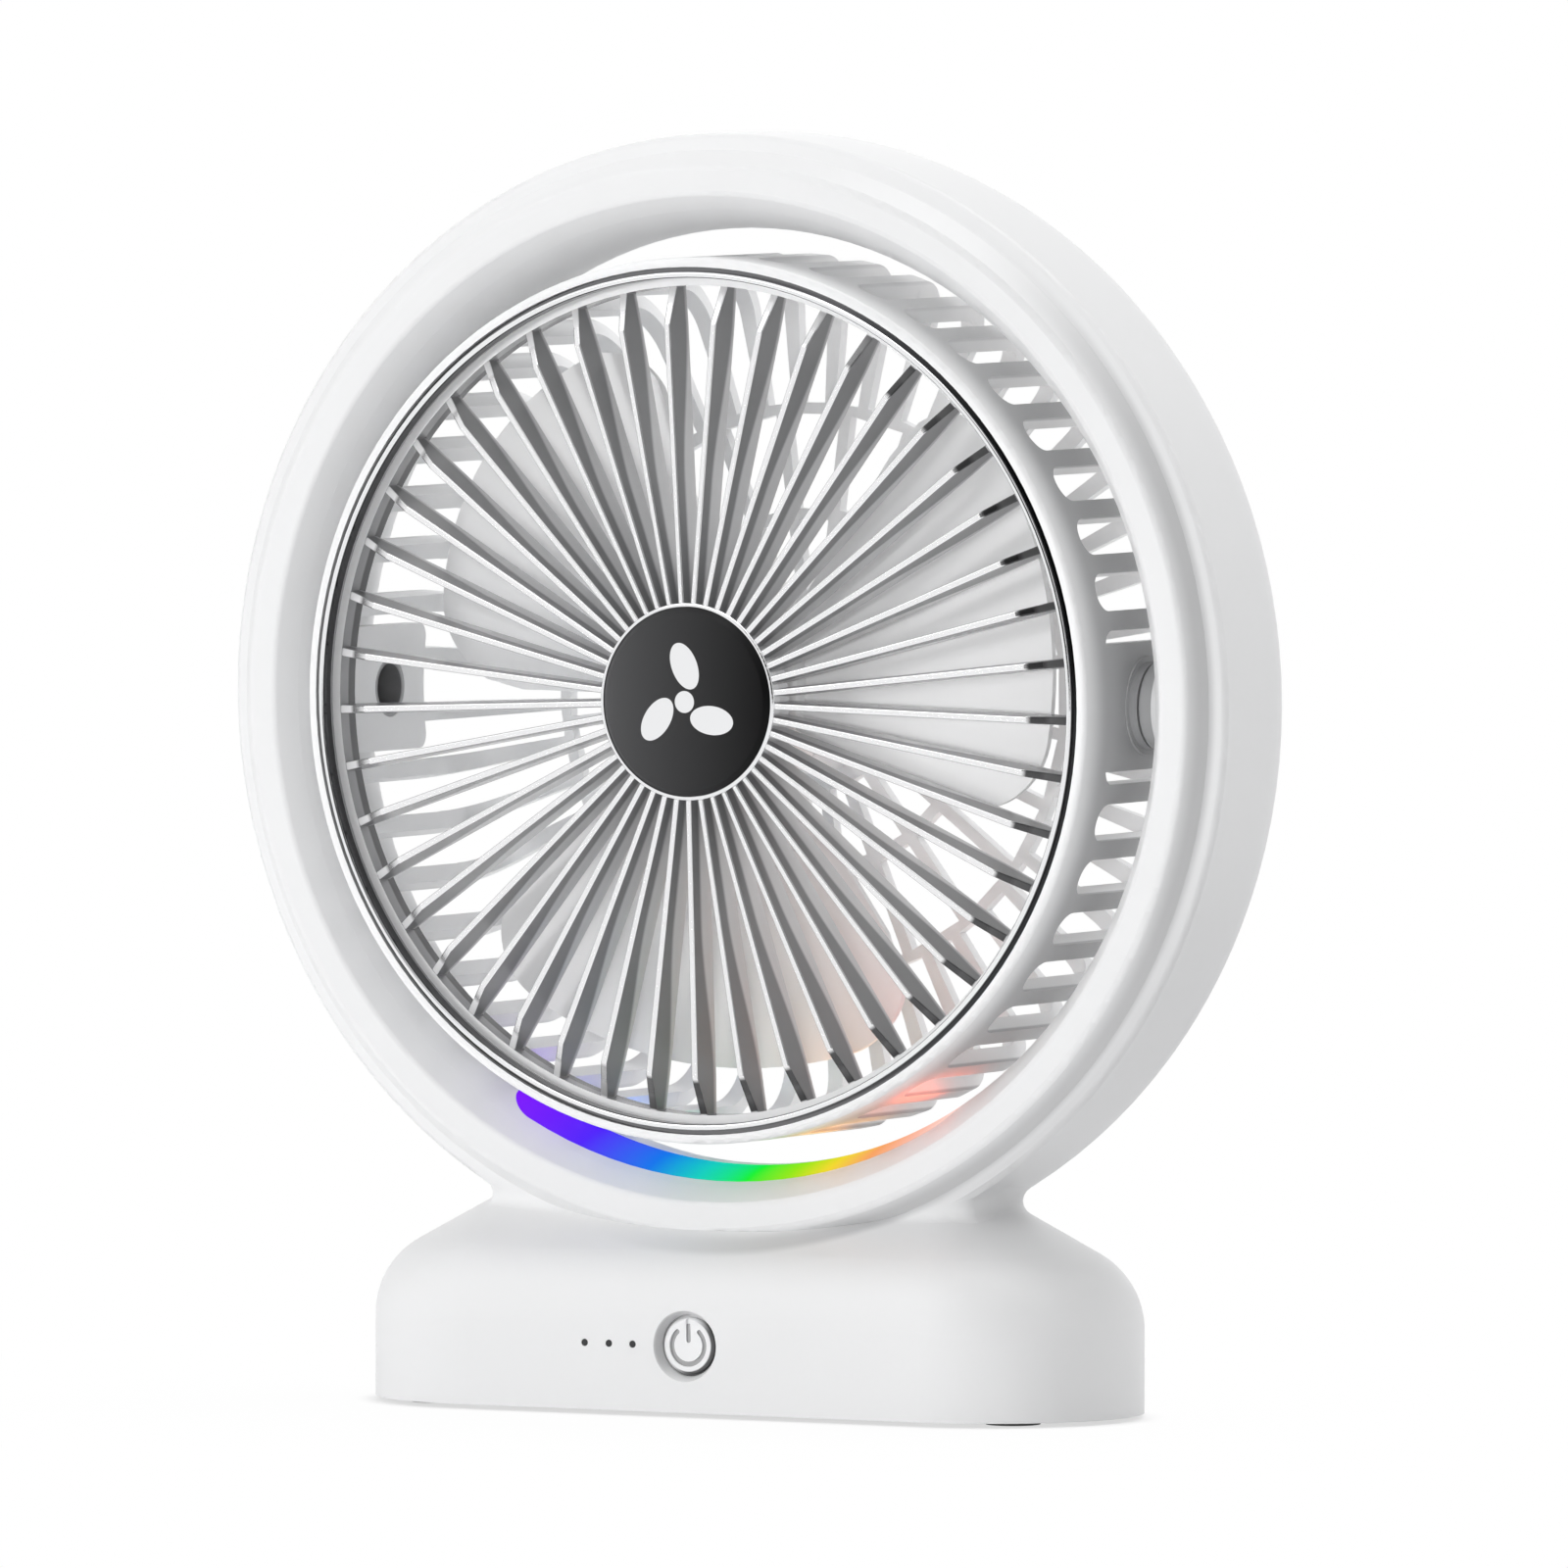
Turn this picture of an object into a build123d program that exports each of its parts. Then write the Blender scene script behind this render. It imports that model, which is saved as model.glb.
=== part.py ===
from build123d import *
import os
from math import cos, radians, sin, sqrt

# Rechargeable desk fan: a round fan head on two side pivots inside a ring that stands on a rounded base.
# X is to the right, Y is to the back, Z is up. The origin is on the floor under the middle of the base.

# How far cutting shapes reach past a face, and how far joined shapes sink into each other
over = 1.0
sink = 0.1

# Ring stand
ring_centre_z = 124.0
ring_radius = 98.0
ring_half_depth = 16.6
ring_back_y = 15.0
throat_radius = 81.4
mouth_radius = 87.6
flat_outer_radius = 92.4
seam_radius = 95.2
seam_y = -12.8
step_y = -11.6
step_fillet = 1.4
back_fillet = 8.0
mouth_fillet = 1.2
flat_fillet = 1.6
ring_wall = 2.6
channel_mouth_inner = 86.7
channel_mouth_outer = 93.6
channel_throat = 83.7
channel_outer = ring_radius - ring_wall
channel_back_y = 11.8
channel_back_inner = 87.2
channel_fillet = 5.4
channel_step = [1.6, 3.4]
cover_lip = 2.0
cover_hollow_wall = [1.9, 1.5, 1.4]

# Base
base_width = 145.2
base_depth = 53.0
base_bottom_z = 0.8
shoulder_z = 23.9
shoulder_fillet = 15.0
base_wall = 2.4
deck_top_z = 41.0
deck_top_width = 82.4
deck_top_depth = 9.9
neck_fillet = 2.6
cavity_slope_z = 19.5
cavity_top_z = 25.6
plate_thickness = 2.0
plate_z = base_bottom_z + plate_thickness
plate_gap = 0.15
foot_radius = 5.0
foot_height = 1.2
foot_places = [(57.0, 12.5), (-57.0, 12.5), (-57.0, -12.5), (57.0, -12.5)]
boss_places = [(44.0, 17.0), (-44.0, 17.0), (-44.0, -17.0), (44.0, -17.0)]
boss_radius = 3.2
screw_radius = 1.2
screw_head_radius = 2.6
screw_head_height = 1.1
screw_seat_z = base_bottom_z + 1.2
screw_length = 8.0
screw_cross = [1.6, 0.3]
wire_hole = [4.0, 31.0, 4.0]

# Light band on the lower inside of the ring
light_half_width = 44.0
light_front_y = -11.0
light_back_y = -2.0
light_thickness = 1.9
led_count = 9
led_size = 3.5
led_sweep = 60.0
strip_sweep = 66.0
strip_thickness = 0.5
strip_inset = 1.8
light_box_depth = 6.0

# Power button and its board
front_y = -base_depth / 2
button_z = 12.4
button_radius = 4.95
button_edge = 0.8
button_hollow = 0.25
button_hollow_sphere = 30.0
button_hole_radius = 5.35
button_dish_radius = 6.2
button_dish_depth = 1.8
button_face_y = front_y + 1.2
button_flange_radius = 6.3
symbol_radius = 3.2
symbol_width = 0.87
symbol_gap = 42.0
symbol_bar = [0.5, 4.7]
symbol_floor_y = button_face_y + 0.5
light_hole_radius = 0.65
indicator_x = [-19.8, -15.0, -10.3]
board_front_y = -17.6
board_thickness = 1.4
board_left = -33.0
board_right = 15.0
board_bottom_z = 4.6
board_top_z = 20.2
board_screw_x = [-28.0, 10.5]
board_screw_radius = 0.9
board_screw_reach = 4.0
board_screw_head = [2.0, 1.3]
board_post_radius = 2.4
board_chips = [(-20, -12, 1.6, 6.5, 11.5), (-9, -3, 1.2, 13.5, 17.5), (2, 5, 2.4, 6.5, 9.5)]
switch_size = [6.0, 3.8]
indicator_led = [2.0, 0.9, 1.2]
flange_gap = 0.2
flange_thickness = 1.0
plunger_radius = 1.6
plunger_back_y = -19.3

# Battery
cell_radius = 9.15
cell_length = 65.0
cell_y = 5.0
cell_z = 13.0
cell_edge = 0.8
cell_tip = [2.8, 0.9]
cradle_x = [-22.0, 22.0]
cradle_size = [1.5, 10.0, 4.0]

# Charging socket
socket_width = 8.94
socket_height = 3.26
socket_depth = 7.35
socket_mouth_y = 26.0
charge_board_width = 18.0
charge_board_y = [15.2, 23.8]
charge_board_thickness = 1.0
charge_chips = [(-8.4, -5.8, 18.4, 2.1), (5.8, 8.4, 19.0, 1.8)]
charge_chip_y = 16.0
charge_posts = [(-6.5, 18.0), (6.5, 18.0)]
charge_post_radius = 1.8
socket_clearance = 0.5
socket_recess = [4.0, 3.0, 0.5]
socket_wall = 0.3
tongue_size = [6.6, 5.4, 0.7]

# Side pivots, given for the right side and mirrored to the left
pin_radius = 5.2
pin_bore = 4.2
pin_inner_x = 73.7
pin_outer_x = 91.0
pin_flange_radius = 7.6
pin_flange_x = [76.9, 78.4]
bush_bore = pin_radius + 0.05
bush_flange_radius = 8.0
bush_flange_x = [78.7, 82.6]
bush_spigot_radius = 7.0
pivot_pad_radius = 10.0
pivot_pad_x = 87.0
washer_x = [87.1, 87.9]
washer_radius = 7.7
nut_flats = 14.0
bush_edge = 0.8
pivot_cut_x = [70.0, 95.0]

# Fan head
drum_radius = 76.8
drum_inner = 73.6
drum_front_y = -23.4
drum_back_y = 22.5
drum_corner = 10.0
guard_thickness = 2.4
rebate_radius = 75.15
rebate_y = -20.6
slot_pitch = 7.5
slot_width = 6.65
slot_front_y = -14.5
slot_corner = 3.2
slot_back_y = 10.5
panel_half_height = 11.0
panel_back_y = 12.0
panel_corner = 3.0
guard_ring_radius = 49.5
guard_inner_ring_radius = 31.0
guard_rib = 2.0
motor_mount_radius = 17.2
drum_lip_fillet = 0.9
hub_wall = 2.0
side_slot_reach = 4.0
bezel_outer = rebate_radius - 0.05
bezel_back_y = -21.5
bead_inner = 73.3
bead_outer = 74.35
bead_front_y = -24.1
bead_fillet = 0.45
groove_y = -22.4

# Front grille
blade_count = 45
blade_phase = 6.4
blade_front_width = 1.05
blade_back_width = 1.75
blade_edge = 0.3
blade_hub_y = -25.4
blade_knee_radius = 65.4
blade_knee_y = -23.7
blade_depth = 6.2
blade_end_y = -19.8
grille_ring_inner = 71.9
hub_disc_radius = 16.9
hub_face_y = -23.5
hub_back_y = -19.6
rim_depth = 5.2
blade_sink = 0.4
badge_radius = 16.4
badge_ring_inner = 16.5
badge_ring_outer = 17.15
badge_seat_y = -25.7
badge_front_y = -26.45
badge_chamfer = 0.9

# Motor
cup_radius = 14.2
can_radius = 12.2
cup_front_y = 2.0
can_front_y = 4.0
can_back_y = 17.0
can_wall = 0.6
magnet_inner = 9.6
armature_radius = 8.6
armature_slot = [4.0, 1.6]
armature_ends = [2.4, 3.4]
commutator = [3.2, 2.0]
shaft_radius = 1.0
shaft_bore = shaft_radius + 0.03
bearing_radius = 3.0
motor_screw_x = 8.0
motor_screw_radius = 1.2
motor_screw_head = [2.1, 1.3]
magnet_gap = 2.5
end_cap_back = 1.6
terminal_x = [-6.0, 6.0]
terminal_size = [0.5, 3.4, 2.4]
cover_radius = 16.3
cover_seat_y = 21.2
cover_back_y = 23.0

# Impeller
impeller_blades = 3
impeller_phase = 20.0
blade_span = 80.0
tip_radius = 64.5
impeller_hub_radius = 15.0
impeller_front_y = -14.0
impeller_hub_back_y = -0.6
impeller_skin = 1.5
vane_thickness = 1.3
vane_corner = 13.0
vane_root = 11.0
hub_edge = 1.6
hub_boss_radius = 3.4
hub_face_thickness = 2.0
hub_boss_front = 1.0
shaft_socket = 1.2
# Radius, half chord, pitch, middle in Y and camber of each section of an impeller blade
vane_sections = [
    (6.0, 13.0, 30.0, -7.2, -1.0),
    (36.0, 32.0, 17.0, -6.0, -2.6),
    (68.0, 46.0, 11.5, -5.0, -3.4),
]

ring_axis = Axis((0, 0, ring_centre_z), (0, 1, 0))


def ring_face(*points):
    """Closed outline in radius and Y, drawn on the level plane through the ring's centre."""
    return Plane.XY.offset(ring_centre_z) * make_face(Polyline(*points, close=True))


def spin(profile, sweep=360.0):
    return revolve(profile, ring_axis, sweep)


def turned(shape, angle):
    """The shape turned counter-clockwise about the ring's axis, as seen from the front."""
    return shape.rotate(ring_axis, -angle)


def annulus(inner, outer, front, back):
    return spin(ring_face((inner, front), (outer, front), (outer, back), (inner, back)))


def rod_x(x0, x1, y, z, radius):
    return extrude(Plane(origin=(x0, y, z), z_dir=(1, 0, 0)) * Circle(radius), x1 - x0)


def rod_y(x, z, y0, y1, radius):
    return extrude(Plane(origin=(x, y0, z), z_dir=(0, 1, 0)) * Circle(radius), y1 - y0)


def rod_z(x, y, z0, z1, radius):
    return extrude(Plane(origin=(x, y, z0), z_dir=(0, 0, 1)) * Circle(radius), z1 - z0)


def block(x0, x1, y0, y1, z0, z1):
    middle = ((x0 + x1) / 2, (y0 + y1) / 2, (z0 + z1) / 2)
    return Pos(*middle) * Box(x1 - x0, y1 - y0, z1 - z0)


def disc(radius, front, back):
    return rod_y(0, ring_centre_z, front, back, radius)


def near_corner(face, radius, y):
    return min(face.vertices(), key=lambda v: (v.X - radius) ** 2 + (v.Y - y) ** 2)


def throat_at(y):
    """Radius of the ring's inner surface at a given depth: an arc through both mouths and the throat."""
    rise = mouth_radius - throat_radius
    arc_radius = (ring_half_depth ** 2 + rise ** 2) / (2 * rise)
    return throat_radius + arc_radius - sqrt(arc_radius ** 2 - y ** 2)


def base_plan(inset, z):
    """The base's outline, straight at front and back and half round at both ends."""
    return Plane.XY.offset(z) * SlotOverall(base_width - 2 * inset, base_depth - 2 * inset)


def mirrored(shape):
    return mirror(shape, Plane.YZ)


# ---------------------------------------------------------------- stand

def base_block():
    lower = extrude(base_plan(0, base_bottom_z), shoulder_z - base_bottom_z)
    top_plan = Plane.XY.offset(deck_top_z) * SlotOverall(deck_top_width, deck_top_depth)
    whole = lower + loft([base_plan(0, shoulder_z), top_plan], ruled=True)
    shoulder = [e for e in whole.edges() if abs(e.center().Z - shoulder_z) < 0.01]
    return fillet(shoulder, shoulder_fillet)


def base_cavity():
    taper = cavity_top_z - cavity_slope_z
    lower = extrude(base_plan(base_wall, 0), cavity_slope_z)
    low_plan = base_plan(base_wall, cavity_slope_z)
    top_plan = base_plan(base_wall + taper, cavity_top_z)
    return lower + loft([low_plan, top_plan], ruled=True)


def ring_body():
    seam_inner = throat_at(seam_y)
    back_inner = throat_at(ring_back_y)
    rim = Polyline(
        (seam_inner, seam_y),
        (seam_radius, seam_y),
        (ring_radius, step_y),
        (ring_radius, ring_back_y),
        (back_inner, ring_back_y),
    )
    throat = ThreePointArc((back_inner, ring_back_y), (throat_radius, 0), (seam_inner, seam_y))
    face = Plane.XY.offset(ring_centre_z) * make_face(rim + throat)
    face = fillet(near_corner(face, ring_radius, step_y), step_fillet)
    face = fillet(near_corner(face, ring_radius, ring_back_y), back_fillet)
    face = fillet(near_corner(face, back_inner, ring_back_y), mouth_fillet)
    return spin(face)


def ring_channel():
    walls = Polyline(
        (channel_mouth_inner, seam_y - over),
        (channel_mouth_outer, seam_y - over),
        (channel_mouth_outer, seam_y + channel_step[0]),
        (channel_outer, seam_y + channel_step[1]),
        (channel_outer, channel_back_y),
        (channel_back_inner, channel_back_y),
    )
    back_corner = (channel_back_inner, channel_back_y)
    mouth_corner = (channel_mouth_inner, seam_y - over)
    inner = ThreePointArc(back_corner, (channel_throat, 0), mouth_corner)
    face = Plane.XY.offset(ring_centre_z) * make_face(walls + inner)
    return spin(fillet(near_corner(face, channel_outer, channel_back_y), channel_fillet))


def cover_outline():
    """The front cover's outer form, from the throat over the flat front to the seam."""
    seam_inner = throat_at(seam_y)
    half_y = (seam_y - ring_half_depth) / 2
    mouth = (mouth_radius, -ring_half_depth)
    front = Polyline(mouth, (flat_outer_radius, -ring_half_depth), (seam_radius, seam_y))
    back = Line((seam_radius, seam_y), (seam_inner, seam_y))
    inner = ThreePointArc((seam_inner, seam_y), (throat_at(half_y), half_y), mouth)
    face = Plane.XY.offset(ring_centre_z) * make_face(front + back + inner)
    face = fillet(near_corner(face, mouth_radius, -ring_half_depth), mouth_fillet)
    return fillet(near_corner(face, flat_outer_radius, -ring_half_depth), flat_fillet)


def light_slot():
    """Upright prism with round ends that cuts the light window out of the ring's inner wall."""
    length = 2 * light_half_width
    width = light_back_y - light_front_y
    middle_y = (light_front_y + light_back_y) / 2
    bottom = ring_centre_z - ring_radius + ring_wall
    height = ring_centre_z / 3
    return extrude(Plane.XY.offset(bottom) * Pos(0, middle_y) * SlotOverall(length, width), height)


def throat_skin(thickness):
    """A shell that follows the ring's inner surface, as deep as the light window."""
    front = light_front_y - over
    back = light_back_y + over
    middle = (front + back) / 2
    near = ThreePointArc(*[(throat_at(y), y) for y in (front, middle, back)])
    far = ThreePointArc(*[(throat_at(y) + thickness, y) for y in (back, middle, front)])
    ends = Line(near @ 1, far @ 0) + Line(far @ 1, near @ 0)
    return spin(Plane.XY.offset(ring_centre_z) * make_face(near + far + ends))


def pivot_pad():
    pad = rod_x(throat_radius + over, pivot_pad_x, 0, ring_centre_z, pivot_pad_radius)
    return pad + mirrored(pad)


def pivot_seat():
    seat = rod_x(bush_flange_x[0], bush_flange_x[1], 0, ring_centre_z, bush_flange_radius)
    seat += rod_x(bush_flange_x[1], pivot_pad_x + over, 0, ring_centre_z, bush_spigot_radius)
    return seat + mirrored(seat)


def front_openings():
    """Button hole with its shallow dish, and the three indicator holes."""
    behind = front_y + base_wall + over
    hole = rod_y(0, button_z, front_y - over, behind, button_hole_radius)
    dish_plane = Plane(origin=(0, front_y, button_z), z_dir=(0, 1, 0))
    dish = loft([
        dish_plane * Circle(button_dish_radius),
        dish_plane.offset(button_dish_depth) * Circle(button_hole_radius),
    ])
    cuts = [hole, dish]
    for x in indicator_x:
        cuts.append(rod_y(x, button_z, front_y - over, behind, light_hole_radius))
    return cuts


def socket_opening():
    back = Plane(origin=(0, over - front_y, button_z), x_dir=(1, 0, 0), z_dir=(0, -1, 0))
    opening = SlotOverall(socket_width + socket_clearance, socket_height + socket_clearance)
    mouth = extrude(back * opening, base_wall + 2 * over)
    wide, high, deep = socket_recess
    recess = extrude(back * SlotOverall(socket_width + wide, socket_height + high), deep + over)
    return [mouth, recess]


def shell_bosses():
    bosses = []
    for x, y in boss_places:
        post = rod_z(x, y, plate_z, cavity_top_z, boss_radius)
        bosses.append(post - rod_z(x, y, plate_z, plate_z + screw_length + over, screw_radius))
    for x in board_screw_x:
        inner_face = front_y + base_wall
        post = rod_y(x, button_z, inner_face - sink, board_front_y, board_post_radius)
        bosses.append(post - rod_y(x, button_z, inner_face + over, board_front_y, board_screw_radius))
    return bosses


def touches(shape, point):
    return min(face.distance_to(point) for face in shape.faces()) < 0.001


def ring_on_base():
    """Ring and base as one moulding, with a small fillet all along the line where they meet."""
    ring = ring_body()
    base = base_block()
    whole = ring + base
    seam = []
    for edge in whole.edges():
        middle = Vertex(*(edge @ 0.5))
        if touches(ring, middle) and touches(base, middle):
            seam.append(edge)
    return fillet(seam, neck_fillet)


def stand_shell():
    shell = ring_on_base()
    shell -= [ring_channel(), base_cavity(), spin(cover_outline())]
    shell += [pivot_pad()] + shell_bosses()
    shell -= [pivot_seat(), light_slot() & throat_skin(light_thickness + light_box_depth)]
    hole_y, hole_top_z, hole_radius = wire_hole
    shell -= [rod_z(0, hole_y, cavity_top_z - over, hole_top_z, hole_radius)]
    return shell - front_openings() - socket_opening()


def ring_front_cover():
    lip_back = seam_y + cover_lip
    front_wall, inner_wall, outer_wall = cover_hollow_wall
    lip_inner = channel_mouth_inner + sink
    lip_outer = channel_mouth_outer - sink
    cover = spin(cover_outline()) + annulus(lip_inner, lip_outer, seam_y, lip_back)
    hollow_inner = channel_mouth_inner + inner_wall
    hollow_outer = channel_mouth_outer - outer_wall
    return cover - annulus(hollow_inner, hollow_outer, front_wall - ring_half_depth, lip_back)


def light_diffuser():
    return light_slot() & throat_skin(light_thickness)


def led_strip():
    tape_front = light_front_y + strip_inset
    tape_inner = channel_outer - strip_thickness
    tape = spin(ring_face(
        (tape_inner, tape_front),
        (channel_outer, tape_front),
        (channel_outer, light_back_y),
        (tape_inner, light_back_y),
    ), strip_sweep)
    strip = turned(tape, -90 + strip_sweep / 2)
    middle_y = (tape_front + light_back_y) / 2
    led = Pos(tape_inner - strip_thickness + sink / 2, middle_y, ring_centre_z)
    led *= Box(2 * strip_thickness + sink, led_size, led_size)
    for i in range(led_count):
        strip += turned(led, -90 - led_sweep / 2 + led_sweep * i / (led_count - 1))
    return strip


def base_plate():
    plate = extrude(base_plan(base_wall + plate_gap, base_bottom_z), plate_thickness)
    half_width, half_depth, below_axis = cradle_size
    for x in cradle_x:
        cradle = block(x - half_width, x + half_width, cell_y - half_depth, cell_y + half_depth,
                       plate_z - sink, cell_z - below_axis)
        plate += cradle
    plate -= rod_x(-cell_length, cell_length, cell_y, cell_z, cell_radius)
    for x, y in charge_posts:
        plate += rod_z(x, y, plate_z - sink, charge_board_bottom(), charge_post_radius)
    for x, y in foot_places:
        plate -= rod_z(x, y, 0, foot_height, foot_radius)
    for x, y in boss_places:
        plate -= rod_z(x, y, 0, screw_seat_z, screw_head_radius + 2 * sink)
        plate -= rod_z(x, y, 0, plate_z, screw_radius)
    return plate


def rubber_feet():
    feet = []
    for x, y in foot_places:
        foot = rod_z(x, y, 0, foot_height, foot_radius)
        feet.append(chamfer(foot.edges().group_by(Axis.Z)[0], 0.3))
    return Compound(children=feet)


def base_screws():
    screws = []
    arm, half_slot = screw_cross
    slot_top = screw_seat_z - screw_head_height / 2
    for x, y in boss_places:
        head = rod_z(x, y, screw_seat_z - screw_head_height, screw_seat_z, screw_head_radius)
        slot = block(x - arm, x + arm, y - half_slot, y + half_slot, 0, slot_top)
        cross = block(x - half_slot, x + half_slot, y - arm, y + arm, 0, slot_top)
        shank = rod_z(x, y, screw_seat_z, plate_z + screw_length, screw_radius)
        screws.append(head + shank - slot - cross)
    return Compound(children=screws)


def battery_cell():
    cell = rod_x(-cell_length / 2, cell_length / 2, cell_y, cell_z, cell_radius)
    cell = fillet(cell.edges(), cell_edge)
    knob_radius, knob_height = cell_tip
    end_x = cell_length / 2
    return cell + rod_x(end_x - sink, end_x + knob_height, cell_y, cell_z, knob_radius)


def control_board():
    back_y = board_front_y + board_thickness
    board = block(board_left, board_right, board_front_y, back_y, board_bottom_z, board_top_z)
    for left, right, height, bottom, top in board_chips:
        board += block(left, right, back_y - sink, back_y + height, bottom, top)
    for x in board_screw_x:
        board -= rod_y(x, button_z, board_front_y, back_y, board_screw_radius)
    return board


def board_screws():
    back_y = board_front_y + board_thickness
    head_radius, head_height = board_screw_head
    screws = []
    for x in board_screw_x:
        shank = rod_y(x, button_z, board_front_y - board_screw_reach, back_y, board_screw_radius)
        head = rod_y(x, button_z, back_y, back_y + head_height, head_radius)
        screws.append(shank + chamfer(head.edges().group_by(Axis.Y)[-1], 0.4))
    return Compound(children=screws)


def tact_switch():
    width, depth = switch_size
    front = board_front_y - depth
    body = Pos(0, board_front_y - depth / 2, button_z) * Box(width, depth, width)
    return body - rod_y(0, button_z, front, board_front_y - 0.6, plunger_radius + 2 * sink)


def indicator_lights():
    lights = []
    width, depth, height = indicator_led
    for x in indicator_x:
        pipe = rod_y(x, button_z, front_y + 0.05, board_front_y - depth + sink, light_hole_radius - 0.03)
        led = Pos(x, board_front_y - depth / 2, button_z) * Box(width, depth, height)
        lights.append(pipe + led)
    return Compound(children=lights)


def power_symbol():
    """Open ring and upright bar, pressed into the button's face."""
    plane = Plane(origin=(0, button_face_y - over, button_z), x_dir=(1, 0, 0), z_dir=(0, 1, 0))
    centre_line = CenterArc((0, 0), symbol_radius, symbol_gap - 90, 360 - 2 * symbol_gap)
    low, high = symbol_bar
    bar = Pos(0, -(low + high) / 2) * SlotOverall(high - low, symbol_width, rotation=90)
    depth = symbol_floor_y - button_face_y + over
    return [extrude(plane * SlotArc(centre_line, symbol_width), depth), extrude(plane * bar, depth)]


def power_button():
    flange_y = front_y + base_wall + flange_gap
    cap = rod_y(0, button_z, button_face_y, flange_y + flange_thickness, button_radius)
    cap = fillet(cap.edges().group_by(Axis.Y)[0], button_edge)
    sphere_y = button_face_y + button_hollow - button_hollow_sphere
    cap -= Pos(0, sphere_y, button_z) * Sphere(button_hollow_sphere)
    cap -= power_symbol()
    return cap + rod_y(0, button_z, flange_y, flange_y + flange_thickness, button_flange_radius)


def switch_plunger():
    front = front_y + base_wall + flange_gap + flange_thickness
    return rod_y(0, button_z, front, plunger_back_y, plunger_radius)


def charge_board_bottom():
    return button_z - socket_height / 2 - charge_board_thickness


def usb_socket():
    mouth = Plane(origin=(0, socket_mouth_y, button_z), x_dir=(1, 0, 0), z_dir=(0, -1, 0))
    can = extrude(mouth * SlotOverall(socket_width, socket_height), socket_depth)
    inside = SlotOverall(socket_width - 2 * socket_wall, socket_height - 2 * socket_wall)
    can -= extrude(mouth * inside, socket_depth - 4 * socket_wall)
    tongue_y = socket_mouth_y - over - tongue_size[1] / 2
    return can + Pos(0, tongue_y, button_z) * Box(*tongue_size)


def charging_board():
    bottom = charge_board_bottom()
    half = charge_board_width / 2
    board = block(-half, half, *charge_board_y, bottom, bottom + charge_board_thickness)
    chip_bottom = bottom + charge_board_thickness - sink
    for left, right, back, height in charge_chips:
        board += block(left, right, charge_chip_y, back, chip_bottom, bottom + height)
    return board


# ---------------------------------------------------------------- side pivots

def pivot_bush():
    flange = rod_x(bush_flange_x[0], bush_flange_x[1], 0, ring_centre_z, bush_flange_radius)
    flange = fillet(flange.edges().group_by(Axis.X)[0], bush_edge)
    spigot = rod_x(bush_flange_x[1], pivot_pad_x, 0, ring_centre_z, bush_spigot_radius)
    return flange + spigot - rod_x(*pivot_cut_x, 0, ring_centre_z, bush_bore)


def pivot_pin():
    pin = rod_x(pin_inner_x, pin_outer_x, 0, ring_centre_z, pin_radius)
    pin += rod_x(pin_flange_x[0], pin_flange_x[1], 0, ring_centre_z, pin_flange_radius)
    return pin - rod_x(*pivot_cut_x, 0, ring_centre_z, pin_bore)


def friction_washer():
    washer = rod_x(washer_x[0], washer_x[1], 0, ring_centre_z, washer_radius)
    return washer - rod_x(*pivot_cut_x, 0, ring_centre_z, pin_radius)


def pivot_nut():
    plane = Plane(origin=(washer_x[1], 0, ring_centre_z), z_dir=(1, 0, 0))
    outline = plane * RegularPolygon(nut_flats / 2, 6, major_radius=False)
    nut = extrude(outline, pin_outer_x - 0.3 - washer_x[1])
    return nut - rod_x(*pivot_cut_x, 0, ring_centre_z, pin_radius)


# ---------------------------------------------------------------- fan head

def drum_wall():
    inner_y = drum_back_y - guard_thickness
    face = ring_face(
        (rebate_radius, drum_front_y),
        (drum_radius, drum_front_y),
        (drum_radius, drum_back_y),
        (cup_radius - 1, drum_back_y),
        (cup_radius - 1, inner_y),
        (drum_inner, inner_y),
        (drum_inner, rebate_y),
        (rebate_radius, rebate_y),
    )
    face = fillet(near_corner(face, drum_radius, drum_back_y), drum_corner)
    face = fillet(near_corner(face, drum_inner, inner_y), drum_corner - drum_radius + drum_inner)
    face = fillet(near_corner(face, drum_radius, drum_front_y), drum_lip_fillet)
    return spin(face)


def guard_cut(inner, outer, pitch, rib, front):
    """Tapered slot between two straight ribs of the rear guard, open from a given depth to the back."""
    half_in = inner * radians(pitch) / 2 - rib[0] / 2
    half_out = outer * radians(pitch) / 2 - rib[1] / 2
    plane = Plane(origin=(0, drum_back_y + over, ring_centre_z), x_dir=(1, 0, 0), z_dir=(0, -1, 0))
    corners = [(inner, -half_in), (outer, -half_out), (outer, half_out), (inner, half_in)]
    return extrude(plane * make_face(Polyline(*corners, close=True)), drum_back_y + over - front)


def side_slot():
    """Slot through the drum's side wall with a round front end."""
    length = slot_back_y + side_slot_reach - slot_front_y
    middle = slot_front_y + length / 2
    start_x = drum_inner - 2 * over
    plane = Plane(origin=(start_x, middle, ring_centre_z), x_dir=(0, 1, 0), z_dir=(1, 0, 0))
    outline = RectangleRounded(length, slot_width, slot_corner)
    return extrude(plane * outline, drum_radius + 2 * over - start_x)


def pivot_panels():
    """Prism through the drum that keeps its wall solid at both pivots, with round back corners."""
    front = slot_front_y - side_slot_reach
    length = panel_back_y - front
    middle = front + length / 2
    plane = Plane(origin=(0, middle, ring_centre_z), x_dir=(0, 1, 0), z_dir=(1, 0, 0))
    outline = RectangleRounded(length, 2 * panel_half_height, panel_corner)
    return extrude(plane * outline, ring_radius, both=True)


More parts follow.
